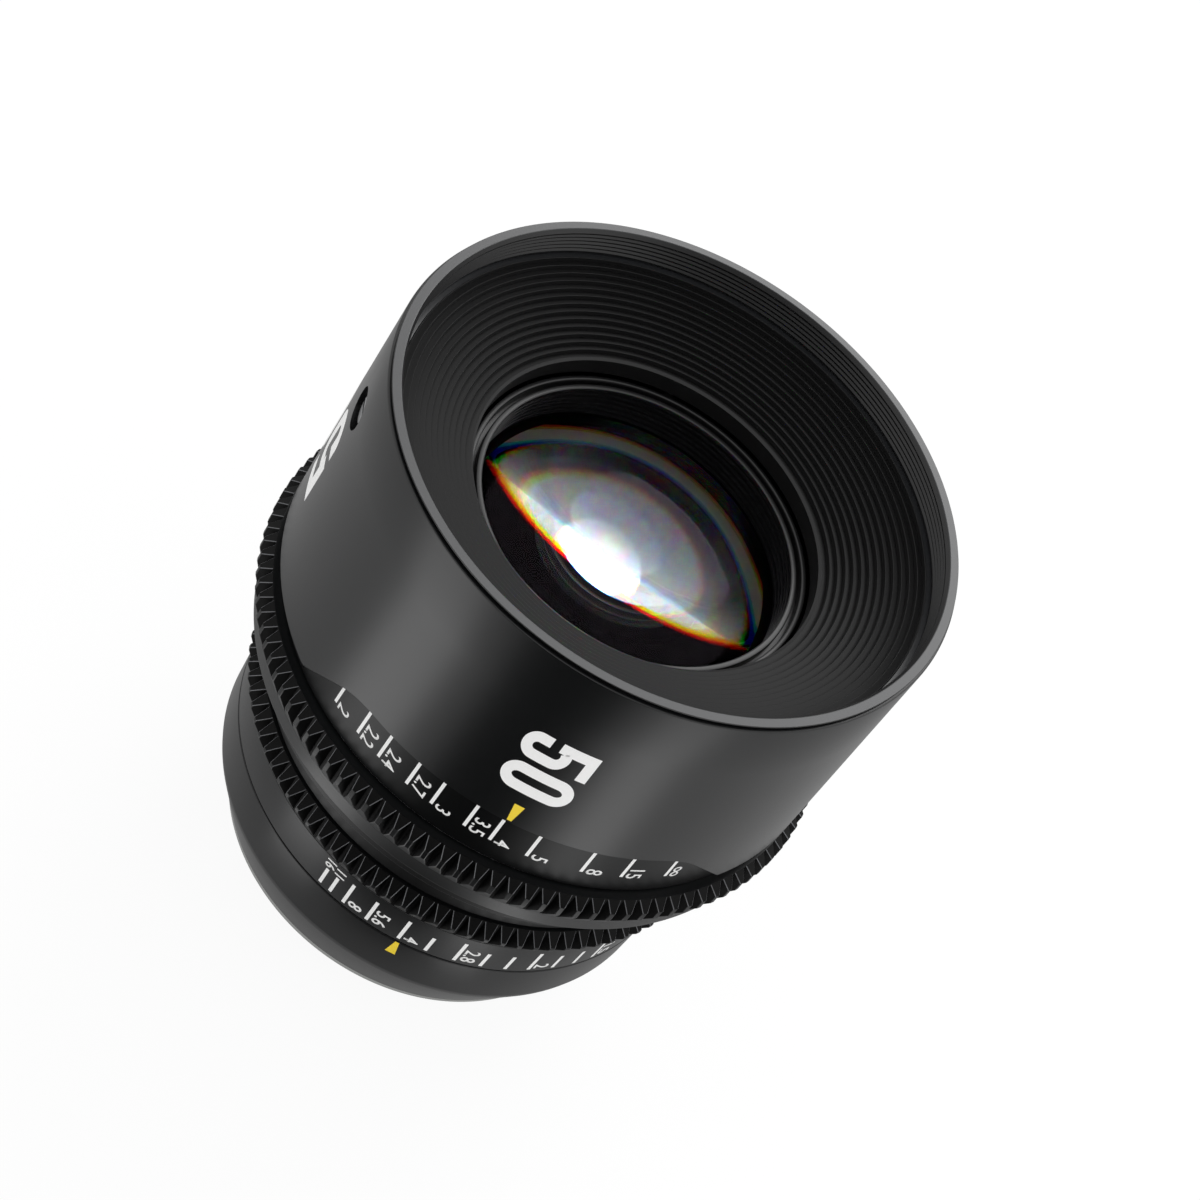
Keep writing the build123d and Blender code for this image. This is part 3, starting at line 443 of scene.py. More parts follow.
@contextmanager
def editing(everything: bool = True) -> Iterator[None]:
    """Works on the active piece in edit mode, on all of it or on what was chosen."""
    bpy.ops.object.mode_set(mode="EDIT")
    if everything:
        bpy.ops.mesh.select_all(action="SELECT")
    yield
    bpy.ops.object.mode_set(mode="OBJECT")


def weld(distance: float = WELD) -> None:
    """Selects all of the piece in edit mode and merges vertices that meet."""
    bpy.ops.mesh.select_all(action="SELECT")
    bpy.ops.mesh.remove_doubles(threshold=distance)


def settle(**parts: bool) -> None:
    """Works the active piece's own place, turn or scale into its mesh."""
    chosen = {"location": False, "rotation": False, "scale": False, **parts}
    bpy.ops.object.transform_apply(**chosen)


class Bench:
    """The hand work that every piece shares: adding, turning, cutting and finishing."""

    @staticmethod
    def pick(*objects: Piece) -> None:
        """Selects only these objects and makes the first one active."""
        if bpy.context.object is not None and bpy.context.object.mode != "OBJECT":
            bpy.ops.object.mode_set(mode="OBJECT")
        bpy.ops.object.select_all(action="DESELECT")
        for item in objects:
            item.select_set(True)
        bpy.context.view_layer.objects.active = objects[0] if objects else None

    @staticmethod
    def christen(name: str) -> Piece:
        """Names the active piece and its mesh, and returns the piece."""
        piece = bpy.context.object
        piece.name = piece.data.name = name
        return piece

    @staticmethod
    def choose(piece: Piece, members: Collection[int]) -> None:
        """Selects vertices by their numbers, with the edges and faces between them."""
        for vertex in piece.data.vertices:
            vertex.select = vertex.index in members
        for part in (*piece.data.edges, *piece.data.polygons):
            part.select = all(index in members for index in part.vertices)

    @staticmethod
    def modify(piece: Piece, kind: str, **settings: object) -> None:
        """Puts one modifier on the active piece and applies it."""
        change = piece.modifiers.new(kind, kind)
        for name, value in settings.items():
            setattr(change, name, value)
        bpy.ops.object.modifier_apply(modifier=change.name)

    @classmethod
    def trace(cls, name: str, points: Sequence[Sequence[float]]) -> Piece:
        """Draws a bare line point by point; it closes where it comes back to its start.

        Args:
            name: Name of the new piece.
            points: Places in mm, with or without a height.

        Returns:
            The line.
        """
        cls.pick()
        bpy.ops.mesh.primitive_plane_add(size=MM, location=(0, 0, 0))
        piece = cls.christen(name)
        with editing():
            bpy.ops.mesh.merge(type="CENTER")
            places = [Vector(point).to_3d() * MM for point in points]
            bpy.ops.transform.translate(value=places[0])
            for last, spot in zip(places, places[1:]):
                bpy.ops.mesh.extrude_vertices_move(TRANSFORM_OT_translate={"value": spot - last})
            weld()
        return piece

    @classmethod
    def turn(
        cls,
        name: str,
        outline: Sequence[Point],
        steps: int = 288,
        angle: float = 30.0,
        closed: bool = True,
    ) -> Piece:
        """Turns a piece on the lathe: an outline is drawn vertex by vertex and spun.

        Args:
            name: Name of the new piece.
            outline: Radius and height pairs in mm.
            steps: Number of sides round the axis.
            angle: Edges flatter than this are shaded smooth, degrees.
            closed: Whether the last point joins the first.

        Returns:
            The finished piece.
        """
        points = [(radius, 0, height) for radius, height in outline]
        piece = cls.trace(name, points + (points[:1] if closed else []))
        with editing():
            bpy.ops.mesh.spin(steps=steps, angle=2 * math.pi, **LENS_AXIS)
            weld(10 * WELD)
            bpy.ops.mesh.normals_make_consistent(inside=False)
        cls.smooth(piece, angle)
        return piece

    @classmethod
    def cage(cls, name: str, corners: Sequence[Vector]) -> Piece:
        """Pulls a cube's eight corners to their places.

        Args:
            name: Name of the new piece.
            corners: Eight points in metres: the low face's four, then the high face's.

        Returns:
            The piece.
        """
        cls.pick()
        bpy.ops.mesh.primitive_cube_add(size=2 * MM, location=(0, 0, 0))
        piece = cls.christen(name)
        order = ((-1, -1), (1, -1), (1, 1), (-1, 1))
        signs = [Vector((x, y, z)) * MM for z in (-1, 1) for x, y in order]
        moves: dict[int, Vector] = {}
        for vertex in piece.data.vertices:
            for sign, corner in zip(signs, corners):
                if (vertex.co - sign).length < 0.1 * MM:
                    moves[vertex.index] = corner - vertex.co
        for index, move in moves.items():
            cls.choose(piece, [index])
            with editing(everything=False):
                bpy.ops.transform.translate(value=move)
        with editing():
            bpy.ops.mesh.normals_make_consistent(inside=False)
        return piece

    @classmethod
    def join(cls, name: str, parts: Sequence[Piece]) -> Piece:
        """Joins several objects into one piece."""
        cls.pick(*parts)
        if len(parts) > 1:
            bpy.ops.object.join()
        return cls.christen(name)

    @classmethod
    def cut(cls, piece: Piece, tool: Piece) -> None:
        """Cuts one piece with another, and removes the tool."""
        cls.pick(piece)
        cls.modify(piece, "BOOLEAN", operation="DIFFERENCE", solver="EXACT", object=tool)
        bpy.data.objects.remove(tool)

    @classmethod
    def drill(cls, piece: Piece, at: Vector, radius: float, depth: float, **pose: object) -> None:
        """Cuts a round pocket.

        Args:
            piece: The piece that is drilled.
            at: Middle of the pocket, in metres.
            radius: Its radius, mm.
            depth: Its length, mm.
            pose: The drill's rotation and number of sides, where they aren't the plain ones.
        """
        cls.pick()
        settings = {"vertices": 40, "radius": radius * MM, "depth": depth * MM, **pose}
        bpy.ops.mesh.primitive_cylinder_add(location=at, **settings)
        cls.cut(piece, bpy.context.object)

    @classmethod
    def smooth(cls, piece: Piece, angle: float) -> None:
        """Shades the flat-meeting faces of a piece smooth."""
        cls.pick(piece)
        bpy.ops.object.shade_smooth_by_angle(angle=math.radians(angle), keep_sharp_edges=True)

    @staticmethod
    def paint_faces(
        piece: Piece, finish: Finish, test: Callable[[Vector, Vector], bool]
    ) -> None:
        """Keeps one more finish for the faces that a test picks by place and normal.

        Args:
            piece: The piece, before its main finish goes on.
            finish: The further finish.
            test: Takes a face's middle in mm and its normal.
        """
        names = [name for name in piece.get("more_finishes", "").split(",") if name]
        names.append(finish.name)
        piece["more_finishes"] = ",".join(names)
        finish.material()
        for face in piece.data.polygons:
            if test(face.center / MM, face.normal):
                face.material_index = len(names)

    @classmethod
    def repeat_round(cls, piece: Piece, count: int) -> None:
        """Repeats what a piece holds evenly round the lens axis."""
        cls.pick(piece)
        turn = 2 * math.pi * (count - 1) / count
        with editing():
            bpy.ops.mesh.spin(steps=count - 1, dupli=True, angle=turn, **LENS_AXIS)

    @staticmethod
    def finish(
        piece: Piece, finish: Finish, body: Body, slot: str, replaces: Iterable[str] = ()
    ) -> None:
        """Gives a piece its material and its body, and hides the solids that it stands for.

        Args:
            piece: The finished mesh.
            finish: Its finish.
            body: The body it moves with.
            slot: The record's material slot; not used.
            replaces: Nodes of the solids that it stands for.
        """
        chosen = [face.material_index for face in piece.data.polygons]
        names = [name for name in piece.pop("more_finishes", "").split(",") if name]
        piece.data.materials.clear()
        piece.data.materials.append(finish.material())
        for name in names:
            piece.data.materials.append(bpy.data.materials[name])
        for face, index in zip(piece.data.polygons, chosen):
            face.material_index = index if names else 0
        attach(piece, body.value)
        nodes = list(replaces)
        if nodes:
            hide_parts(*nodes)
        LOG.info("made %s", piece.name)


def plate_corners(azimuth: float, *ends: tuple[float, float, float]) -> list[Vector]:
    """Lists the four corners of a plate's low or high face.

    Args:
        azimuth: Azimuth of its middle, degrees.
        ends: Radius, half width in degrees and height, of the rear end and of the front end.

    Returns:
        The corners in metres, in the order that a cage takes.
    """
    rear, front = ends
    corners = []
    for (radius, half, height), side in ((rear, -1), (rear, 1), (front, 1), (front, -1)):
        corners.append(place(radius, azimuth + side * half, height))
    return corners


@dataclass
class Shell:
    """The fixed shell: front ring, baffle, front barrel, centre ring, rear barrel, mount."""

    radius: float = 42.5
    top: float = 92.4
    rear: float = 52.8
    skirt: float = 41.6
    window_edge: tuple[Point, ...] = (
        (0.0, 60.3), (30.5, 60.3), (32.5, 60.2), (34.5, 59.95), (36.5, 59.5),
        (38.5, 58.8), (40.6, 57.75), (44.6, 55.5), (49.3, 52.75), (49.7, 52.5),
    )
    screw_azimuth: float = -169.7
    screw_height: float = 81.3
    thread_turns: int = 5
    thread_start: float = 92.05
    thread_pitch: float = 0.75
    ridges: int = 14
    ridge_start: Point = (39.7, 88.1)
    ridge_pitch: float = 1.01
    ridge_fall: float = 0.445

    def build(self) -> None:
        """Makes every piece of the shell."""
        self.front_ring()
        self.baffle()
        self.front_barrel()
        self.centre_ring()
        self.rear_barrel()
        self.mount()

    def front_ring(self) -> None:
        """Turns the rim with its bevel and the filter thread's grooves."""
        outline: list[Point] = [
            (39.8, 87.9), (39.8, 86.6), (41.6, 86.6), (41.6, 92.3), (41.75, 92.45),
            (41.75, 92.68), (42.06, 92.74), (42.15, 92.78), (42.15, 92.86), (42.08, 92.92),
            (40.9, 93.0), (40.8, 92.96), (40.4, 92.4), (40.42, 92.15),
        ]
        for turn in range(self.thread_turns):
            crest = self.thread_start - turn * self.thread_pitch
            outline += [(40.72, crest - 0.2), (40.5, crest - 0.5)]
        outline += [(40.5, 88.3), (41.0, 88.2), (41.0, 87.9)]
        ring = Bench.turn("front_rim", outline, steps=360, angle=25)
        Bench.paint_faces(ring, TURNED_BLACK, lambda middle, normal: normal.z < 0.9)
        # Only the upward top face keeps the greyer rim colour, a painted reflection.
        Bench.finish(ring, RIM_WITH_PAINTED_REFLECTION, Body.SHELL, "black_anodised", ["front_ring"])

    def baffle(self) -> None:
        """Turns the cone of fine ridges between the thread and the front glass."""
        outline: list[Point] = [(39.1, 86.6), (39.8, 86.6), (39.8, 87.9)]
        for ridge in range(self.ridges):
            crest_r = self.ridge_start[0] - ridge * self.ridge_pitch
            crest_z = self.ridge_start[1] - ridge * self.ridge_pitch * self.ridge_fall
            outline += [(crest_r, crest_z - 0.02), (crest_r - 0.05, crest_z)]
            outline += [(crest_r - 0.09, crest_z - 0.03), (crest_r - 0.16, crest_z - 0.8)]
        outline[-1:] = [(26.1, 82.0), (26.1, 79.4), (27.3, 79.4), (27.3, 80.9), (39.1, 86.1)]
        cone = Bench.turn("ridged_baffle", outline, steps=300, angle=20)
        Bench.finish(cone, MATT_LACQUER, Body.SHELL, "matte_black", ["baffle_cone"])

    def front_barrel(self) -> None:
        """Turns the front barrel, then cuts its scale window and screw counterbore."""
        outline: list[Point] = [
            (self.skirt, self.rear), (self.radius - 0.12, self.rear),
            (self.radius, self.rear + 0.12), (self.radius, 62.0), (self.radius, 72.0),
            (self.radius, 82.0), (self.radius, self.top - 0.4),
            (self.radius - 0.06, self.top - 0.25), (self.radius - 0.25, self.top - 0.18),
            (self.skirt, self.top - 0.18), (self.skirt, 86.6), (39.3, 86.6), (39.3, 71.0),
            (33.0, 71.0), (33.0, 68.0), (self.skirt, 68.0),
        ]
        barrel = Bench.turn("front_barrel_shell", outline, steps=360, angle=25)
        Bench.cut(barrel, self.window_tool())
        self.break_window_edge(barrel)
        outward = place(1, self.screw_azimuth, 0) / MM
        spot = place(43.0, self.screw_azimuth, self.screw_height)
        turn = outward.to_track_quat("Z", "Y").to_euler()
        Bench.drill(barrel, spot, 3.15, 4, vertices=64, rotation=turn)
        Bench.smooth(barrel, 25)
        Bench.finish(barrel, ANODISED, Body.SHELL, "black_anodised", ["front_barrel"])

    def window_front(self, spot: Vector) -> float:
        """Finds the height of the window's front edge, mm, over a point's azimuth."""
        half = abs(math.degrees(math.atan2(spot.y, spot.x)) - INDEX_AZIMUTH)
        for (near, high), (far, low) in zip(self.window_edge, self.window_edge[1:]):
            if near <= half <= far:
                return high + (low - high) * (half - near) / (far - near)
        return self.rear - 0.5

    def window_tool(self) -> Piece:
        """Turns a ring and lowers its front to the window's edge, column by column."""
        low, high = self.rear - 3, self.rear - 0.5
        outline = [(self.skirt - 0.5, low), (46, low), (46, high), (self.skirt - 0.5, high)]
        tool = Bench.turn("window_tool", outline, steps=337)
        columns: dict[float, list[int]] = {}
        for vertex in tool.data.vertices:
            front = self.window_front(vertex.co)
            if vertex.co.z > (high - 0.1) * MM and front > high:
                columns.setdefault(round(front, 4), []).append(vertex.index)
        for front, members in columns.items():
            Bench.choose(tool, members)
            with editing(everything=False):
                bpy.ops.transform.translate(value=(0, 0, (front - high) * MM))
        return tool

    def break_window_edge(self, barrel: Piece) -> None:
        """Breaks the window's outer edge, which then shows as a fine line."""
        on_edge = set()
        for vertex in barrel.data.vertices:
            spot = vertex.co / MM
            outer = math.hypot(spot.x, spot.y) > self.radius - 0.05
            if outer and abs(spot.z - self.window_front(spot)) < 0.04:
                on_edge.add(vertex.index)
        Bench.pick(barrel)
        Bench.choose(barrel, on_edge)
        with editing(everything=False):
            bpy.ops.mesh.bevel(offset=0.12 * MM, segments=1)

    def centre_ring(self) -> None:
        """Turns the fixed ring in the gap between the two gears."""
        outline: list[Point] = [
            (34.5, 31.3), (36.2, 31.3), (36.2, 36.8), (37.0, 37.6), (39.6, 37.6),
            (39.85, 37.68), (40.0, 37.9), (40.0, 40.6), (39.9, 40.8), (39.7, 40.9),
            (39.3, 40.9), (39.3, 39.1), (37.0, 39.1), (37.0, 40.3), (34.5, 40.3),
        ]
        ring = Bench.turn("centre_ring_turned", outline)
        Bench.finish(ring, MATT_LACQUER, Body.SHELL, "black_anodised", ["centre_ring"])

    def rear_barrel(self) -> None:
        """Turns the rear barrel down to the mount plate."""
        outline: list[Point] = [
            (34.5, 18.1), (35.85, 18.1), (35.96, 18.05), (36.0, 17.95), (35.7, 10.7),
            (35.66, 10.4), (35.42, 9.65), (35.36, 9.45), (31.3, 1.2), (31.2, 1.0),
            (26.0, 1.0), (26.0, 4.5), (30.2, 4.5), (30.2, 9.5), (34.5, 9.5),
        ]
        barrel = Bench.turn("rear_barrel_shell", outline, steps=324, angle=12)
        # The rear shell takes the darker copy of the anodising: painted shade.
        Bench.finish(barrel, REAR_SHELL_SHADED_ANODISING, Body.SHELL, "black_anodised", ["rear_barrel"])

    def mount(self) -> None:
        """Turns the mount plate and register, drills it and adds the three lugs."""
        outline: list[Point] = [
            (23.4, -5.3), (23.5, -5.4), (25.05, -5.4), (25.2, -5.25), (25.2, -1.5),
            (26.75, -1.5), (26.9, -1.35), (26.9, 0.0), (30.85, 0.0), (31.0, 0.12),
            (31.0, 0.95), (30.95, 1.0), (23.4, 1.0),
        ]
        piece = Bench.turn("mount_plate", outline)
        for azimuth in (45, 135, 225, 315):
            Bench.drill(piece, place(28.6, azimuth, 0.0), 1.5, 1.2)
        Bench.drill(piece, place(29.0, 180, 0.0), 1.3, 3)
        piece = Bench.join("bayonet_turned", [piece, *(self.lug(55 + 120 * n) for n in range(3))])
        Bench.smooth(piece, 30)
        Bench.finish(piece, MOUNT_STEEL, Body.SHELL, "mount_steel", ["bayonet_mount"])

    def lug(self, start: float) -> Piece:
        """Spins one bayonet lug through fifty degrees, clockwise from a start azimuth."""
        outline = [(24.8, -5.39), (26.5, -5.39), (26.7, -5.2), (26.7, -3.9), (24.8, -3.9)]
        points = [place(radius, start, height) / MM for radius, height in outline]
        piece = Bench.trace("lug", points + points[:1])
        with editing():
            bpy.ops.mesh.edge_face_add()
            bpy.ops.mesh.spin(steps=40, angle=math.radians(50), **LENS_AXIS)
            weld()
            bpy.ops.mesh.normals_make_consistent(inside=False)
        return piece


@dataclass
class GearRing:
    """A turned ring with straight-cut teeth, bevelled at the front and run out behind.

    Attributes:
        name: Name of the finished piece.
        node: The solid that it stands for.
        body: The body that it moves with.
        teeth: Number of teeth.
        phase: Azimuth of one tooth's middle, degrees.
        root: Root radius.
        tip: Tip radius.
        front: Height of the ring's front face.
        land: Heights where the land starts and ends, front first.
        runout: Height where the rear slope meets the root.
        outline: The toothless ring, radius and height pairs in mm.
        land_width: Width of a tooth's land.
        floor_width: Width of the gap's floor.
        sunk: How deep a tooth reaches into the ring.
        broken: Width of its broken edges.
    """

    name: str
    node: str
    body: Body
    teeth: int
    phase: float
    root: float
    tip: float
    front: float
    land: Point
    runout: float
    outline: list[Point]
    land_width: float = 0.75
    floor_width: float = 0.45
    sunk: float = 0.06
    broken: float = 0.08

    def build(self) -> None:
        """Turns the ring, shapes one tooth and repeats it round the ring."""
        ring = Bench.turn(self.name, self.outline, steps=self.teeth * 3, angle=25)
        base = 180 / self.teeth - math.degrees(self.floor_width / self.root / 2)
        land = math.degrees(self.land_width / self.tip / 2)
        foot = self.root - self.sunk
        spread = base + (base - land) * self.sunk / (self.tip - self.root)
        behind, ahead = self.runout - 0.1, self.front - 0.005
        low = plate_corners(self.phase, (foot, spread, behind), (foot, spread, ahead))
        ahead, behind = self.land
        high = plate_corners(self.phase, (self.tip, land, behind), (self.tip, land, ahead))
        tooth = Bench.cage(self.name + "_tooth", low + high)
        Bench.pick(tooth)
        edge = {"segments": 1, "limit_method": "ANGLE", "angle_limit": math.radians(30)}
        Bench.modify(tooth, "BEVEL", width=self.broken * MM, **edge)
        Bench.repeat_round(tooth, self.teeth)
        piece = Bench.join(self.name, [ring, tooth])
        Bench.smooth(piece, 25)
        # The tooth gaps take painted shade.
        Bench.paint_faces(piece, TOOTH_GAP_SHADE, self.in_shaded_gap)
        # The broken front edges take a painted highlight.
        Bench.paint_faces(piece, TOOTH_EDGE_HIGHLIGHT, self.on_edge)
        Bench.finish(piece, TOOTH_ANODISED, self.body, "black_gear", [self.node])

    def in_shaded_gap(self, middle: Vector, normal: Vector) -> bool:
        """Tells whether a face takes the painted gap shade: a flank, the gap's floor or a front
        bevel.
        """
        around = Vector((-middle.y, middle.x, 0)).normalized()
        out = Vector((middle.x, middle.y, 0))
        if not self.runout - 0.2 < middle.z < self.front - 0.01:
            return False
        flank = abs(normal.dot(around)) > 0.6
        floor = out.length < self.root + 0.02 and normal.dot(out.normalized()) > 0.9
        bevel = out.length > self.root and normal.z > 0.4
        return flank or floor or bevel

    def on_edge(self, middle: Vector, normal: Vector) -> bool:
        """Tells whether a face is a tooth's broken front edge, which takes the painted highlight.
        """
        around = Vector((-middle.y, middle.x, 0)).normalized()
        on_tooth = math.hypot(middle.x, middle.y) > self.root + 0.02
        ahead = self.land[0] - 0.05 < middle.z < self.front - 0.01
        return on_tooth and ahead and 0.25 < abs(normal.dot(around)) < 0.75


@dataclass
class Mark:
    """A filled tick on a turned surface, as wide at both ends or tapered.

    Attributes:
        azimuth: Middle, degrees.
        front_z: Height of its front end.
        rear_z: Height of its rear end.
        front_width: Width at the front end, mm.
        rear_width: Width at the rear end, mm.
        front_r: Radius of the surface at the front end.
        rear_r: Radius of the surface at the rear end.
    """

    azimuth: float
    front_z: float
    rear_z: float
    front_width: float
    rear_width: float
    front_r: float
    rear_r: float

    def build(self, name: str) -> Piece:
        """Shapes the mark as a thin plate let into the surface."""
        rear = math.degrees(self.rear_width / self.rear_r / 2)
        front = math.degrees(self.front_width / self.front_r / 2)
        corners = []
        for lift in (-TICK_DEPTH, PROUD):
            low = (self.rear_r + lift, rear, self.rear_z)
            corners += plate_corners(self.azimuth, low, (self.front_r + lift, front, self.front_z))
        return Bench.cage(name, corners)


def arc(x: float, y: float, wide: float, high: float, start: int, end: int) -> list[Point]:
    """Samples an elliptical arc of a numeral's centre line.

    Args:
        x: Its centre's place along the text, mm.
        y: Its centre's height over the feet, mm.
        wide: Half its width, mm.
        high: Half its height, mm.
        start: First angle, degrees.
        end: Last angle, degrees.

    Returns:
        Points of the arc in mm.
    """
    angles = [math.radians(degrees) for degrees in [*range(start, end, 10), end]]
    return [(x + wide * math.cos(angle), y + high * math.sin(angle)) for angle in angles]


# Centre lines of the large numerals: the five's bowl, its stem with the bar, and the nought.
PEN_LINES: dict[str, list[list[Point]]] = {
    "50": [
        [(0.72, 3.55), *arc(2.02, 2.05, 1.3, 1.33, 180, 360), *arc(2.02, 4.85, 1.3, 1.3, 0, 125)],
        [(0.72, 4.85), (0.72, 9.43), (4.04, 9.43)],
        [*arc(6.89, 2.35, 1.3, 1.62, 180, 360), *arc(6.89, 7.81, 1.3, 1.62, 0, 180), (5.59, 2.35)],
    ]
}


@dataclass
class Lettering:
    """Numerals painted on a turned surface, reading from front to rear or round it.

    Attributes:
        text: The numerals.
        azimuth: Azimuth of the feet, degrees; of the aligned end where the text reads round.
        height: Height of the aligned end, mm; of the feet where the text reads round.
        size: Height of the numerals, mm.
        width: Sideways scale of the letter shapes.
        weight: Extra stroke weight, mm.
        radius: Radius of the surface at that height.
        slope: How fast the radius grows towards the front, mm per mm.
        align: Which end of the text is the aligned one: LEFT, CENTER or RIGHT.
        length: Whole length of the text, mm, where size and length are both measured.
        pen_width: Width of the pen, mm, where the numerals are drawn and not typed.
        around: Whether the text reads round the lens, with its feet to the front.
    """

    text: str
    azimuth: float
    height: float
    size: float
    width: float
    weight: float
    radius: float
    slope: float = 0.0
    align: str = "RIGHT"
    length: float | None = None
    pen_width: float | None = None
    around: bool = False

    def build(self, name: str) -> Piece:
        """Writes the numerals, slices them and wraps them onto the surface."""
        piece = self.write(name)
        bed = self.bed()
        radial = place(1, self.azimuth, 0) / MM
        tangent = Vector((-radial.y, radial.x, 0))
        rearward = Vector((0, 0, -1))
        along, up = (-tangent, rearward) if self.around else (rearward, tangent)
        piece.rotation_mode = "QUATERNION"
        piece.rotation_quaternion = Matrix((along, up, radial)).transposed().to_quaternion()
        piece.location = place(self.radius + LIFT, self.azimuth, self.height)
        Bench.pick(piece)
        inward = {
            "wrap_method": "PROJECT",
            "use_project_z": True,
            "use_negative_direction": True,
            "use_positive_direction": False,
        }
        Bench.modify(piece, "SHRINKWRAP", target=bed, offset=PROUD * MM, **inward)
        bpy.data.objects.remove(bed)
        Bench.modify(piece, "SOLIDIFY", thickness=INK_DEPTH * MM, offset=-1.0)
        settle(location=True, rotation=True, scale=True)
        return piece

    def write(self, name: str) -> Piece:
        """Types or draws the text as a mesh and cuts that into narrow strips."""
        Bench.pick()
        if self.pen_width is None:
            bpy.ops.object.text_add(location=(0, 0, 0))
            letters = bpy.context.object
            letters.data.body = self.text
            letters.data.align_x = self.align
            letters.data.size = self.size * MM / NUMERAL_SHARE
            letters.data.offset = self.weight * MM
            letters.data.resolution_u = 6
            letters.data.fill_mode = "FRONT"
            letters.scale = (self.width, 1, 1)
            bpy.ops.object.convert(target="MESH")
            piece = bpy.context.object
            settle(location=True, rotation=True, scale=True)
        else:
            piece = Bench.join(name, [self.draw(line) for line in PEN_LINES[self.text]])
        if self.length is not None:
            wide, high, _ = piece.dimensions / MM
            piece.scale = (self.length / wide, self.size / high, 1)
            settle(scale=True)
        across = [vertex.co.x for vertex in piece.data.vertices]
        ends = {"LEFT": min(across), "RIGHT": max(across)}
        middle = (min(across) + max(across)) / 2
        feet = min(vertex.co.y for vertex in piece.data.vertices)
        piece.location = (-ends.get(self.align, middle), -feet, 0)
        settle(location=True)
        Bench.christen(name)
        bend = Vector((1, 0, 0)) if self.around else Vector((0, 1, 0))
        strips = int(self.size / STRIP) + 2
        with editing():
            for step in range(-strips if self.around else -2, strips):
                bpy.ops.mesh.select_all(action="SELECT")
                bpy.ops.mesh.bisect(plane_co=bend * step * (STRIP * MM), plane_no=bend)
            weld()
        return piece

    def draw(self, line: Sequence[Point]) -> Piece:
        """Draws one broad stroke along its centre line and keeps only its flat top."""
        piece = Bench.trace("stroke", line)
        with editing():
            bpy.ops.mesh.extrude_region_move(TRANSFORM_OT_translate={"value": (0, 0, MM)})
        pen = self.pen_width * MM
        Bench.modify(piece, "SOLIDIFY", thickness=pen, offset=0.0, use_even_offset=True)
        low = {vertex.index for vertex in piece.data.vertices if vertex.co.z < 0.5 * MM}
        Bench.choose(piece, low)
        with editing(everything=False):
            bpy.ops.mesh.delete(type="VERT")
            bpy.ops.mesh.select_all(action="SELECT")
            bpy.ops.transform.translate(value=(0, 0, -MM))
        return piece

    def bed(self) -> Piece:
        """Turns the bare surface that the numerals are wrapped onto."""
        outline = [
            (self.radius + self.slope * side * BED_REACH, self.height + side * BED_REACH)
            for side in (1, -1)
        ]
        return Bench.turn("bed", outline, steps=720, closed=False)


@dataclass
class FocusScale:
    """The distance scale on the drum under the barrel's window."""

    radius: float = 41.3
    front_z: float = 61.5
    rear_z: float = 54.0
    tick: float = 0.5
    text_z: float = 53.7
    marks: tuple[tuple[str, float], ...] = (
        ("2", -129.6), ("2.2", -122.2), ("2.4", -116.2), ("2.7", -108.9), ("3", -103.05),
        ("3.5", -95.65), ("4", -90.2), ("5", -82.55), ("8", -71.35), ("15", -63.0),
        ("∞", -53.3),
    )

    def build(self) -> None:
        """Makes the drum, its ticks and its numerals."""
        outline: list[Point] = [
            (39.6, 50.0), (40.7, 50.0), (40.78, 50.04), (41.18, 50.44), (41.3, 50.6),
            (41.3, 57.0), (41.3, 64.0), (39.6, 64.0),
        ]
        drum = Bench.turn("focus_scale_drum_turned", outline, steps=360, angle=25)
        # The rear chamfer takes a painted highlight.
        Bench.paint_faces(drum, DRUM_EDGE_HIGHLIGHT, lambda middle, normal: 50.44 < middle.z < 50.6)
        # The drum takes the darker copy of the anodising: painted shade.
        Bench.finish(drum, DRUM_SHADED_ANODISING, Body.FOCUS, "black_anodised", ["focus_scale_drum"])
        ticks, letters = [], []
        for number, (text, azimuth) in enumerate(self.marks):
            sizes = (self.tick, self.tick, self.radius, self.radius)
            tick = Mark(azimuth, self.front_z, self.rear_z, *sizes)
            ticks.append(tick.build(f"focus_tick_{number}"))
            shape = {"size": 2.4, "width": 0.88, "weight": 0.02}
            line = Lettering(text, azimuth + 0.9, self.text_z, radius=self.radius, **shape)
            letters.append(line.build(f"focus_numeral_{number}"))
        for name, parts in (("focus_scale_ticks", ticks), ("focus_scale_numerals", letters)):
            Bench.finish(Bench.join(name, parts), WHITE_FILL, Body.FOCUS, "black_anodised")


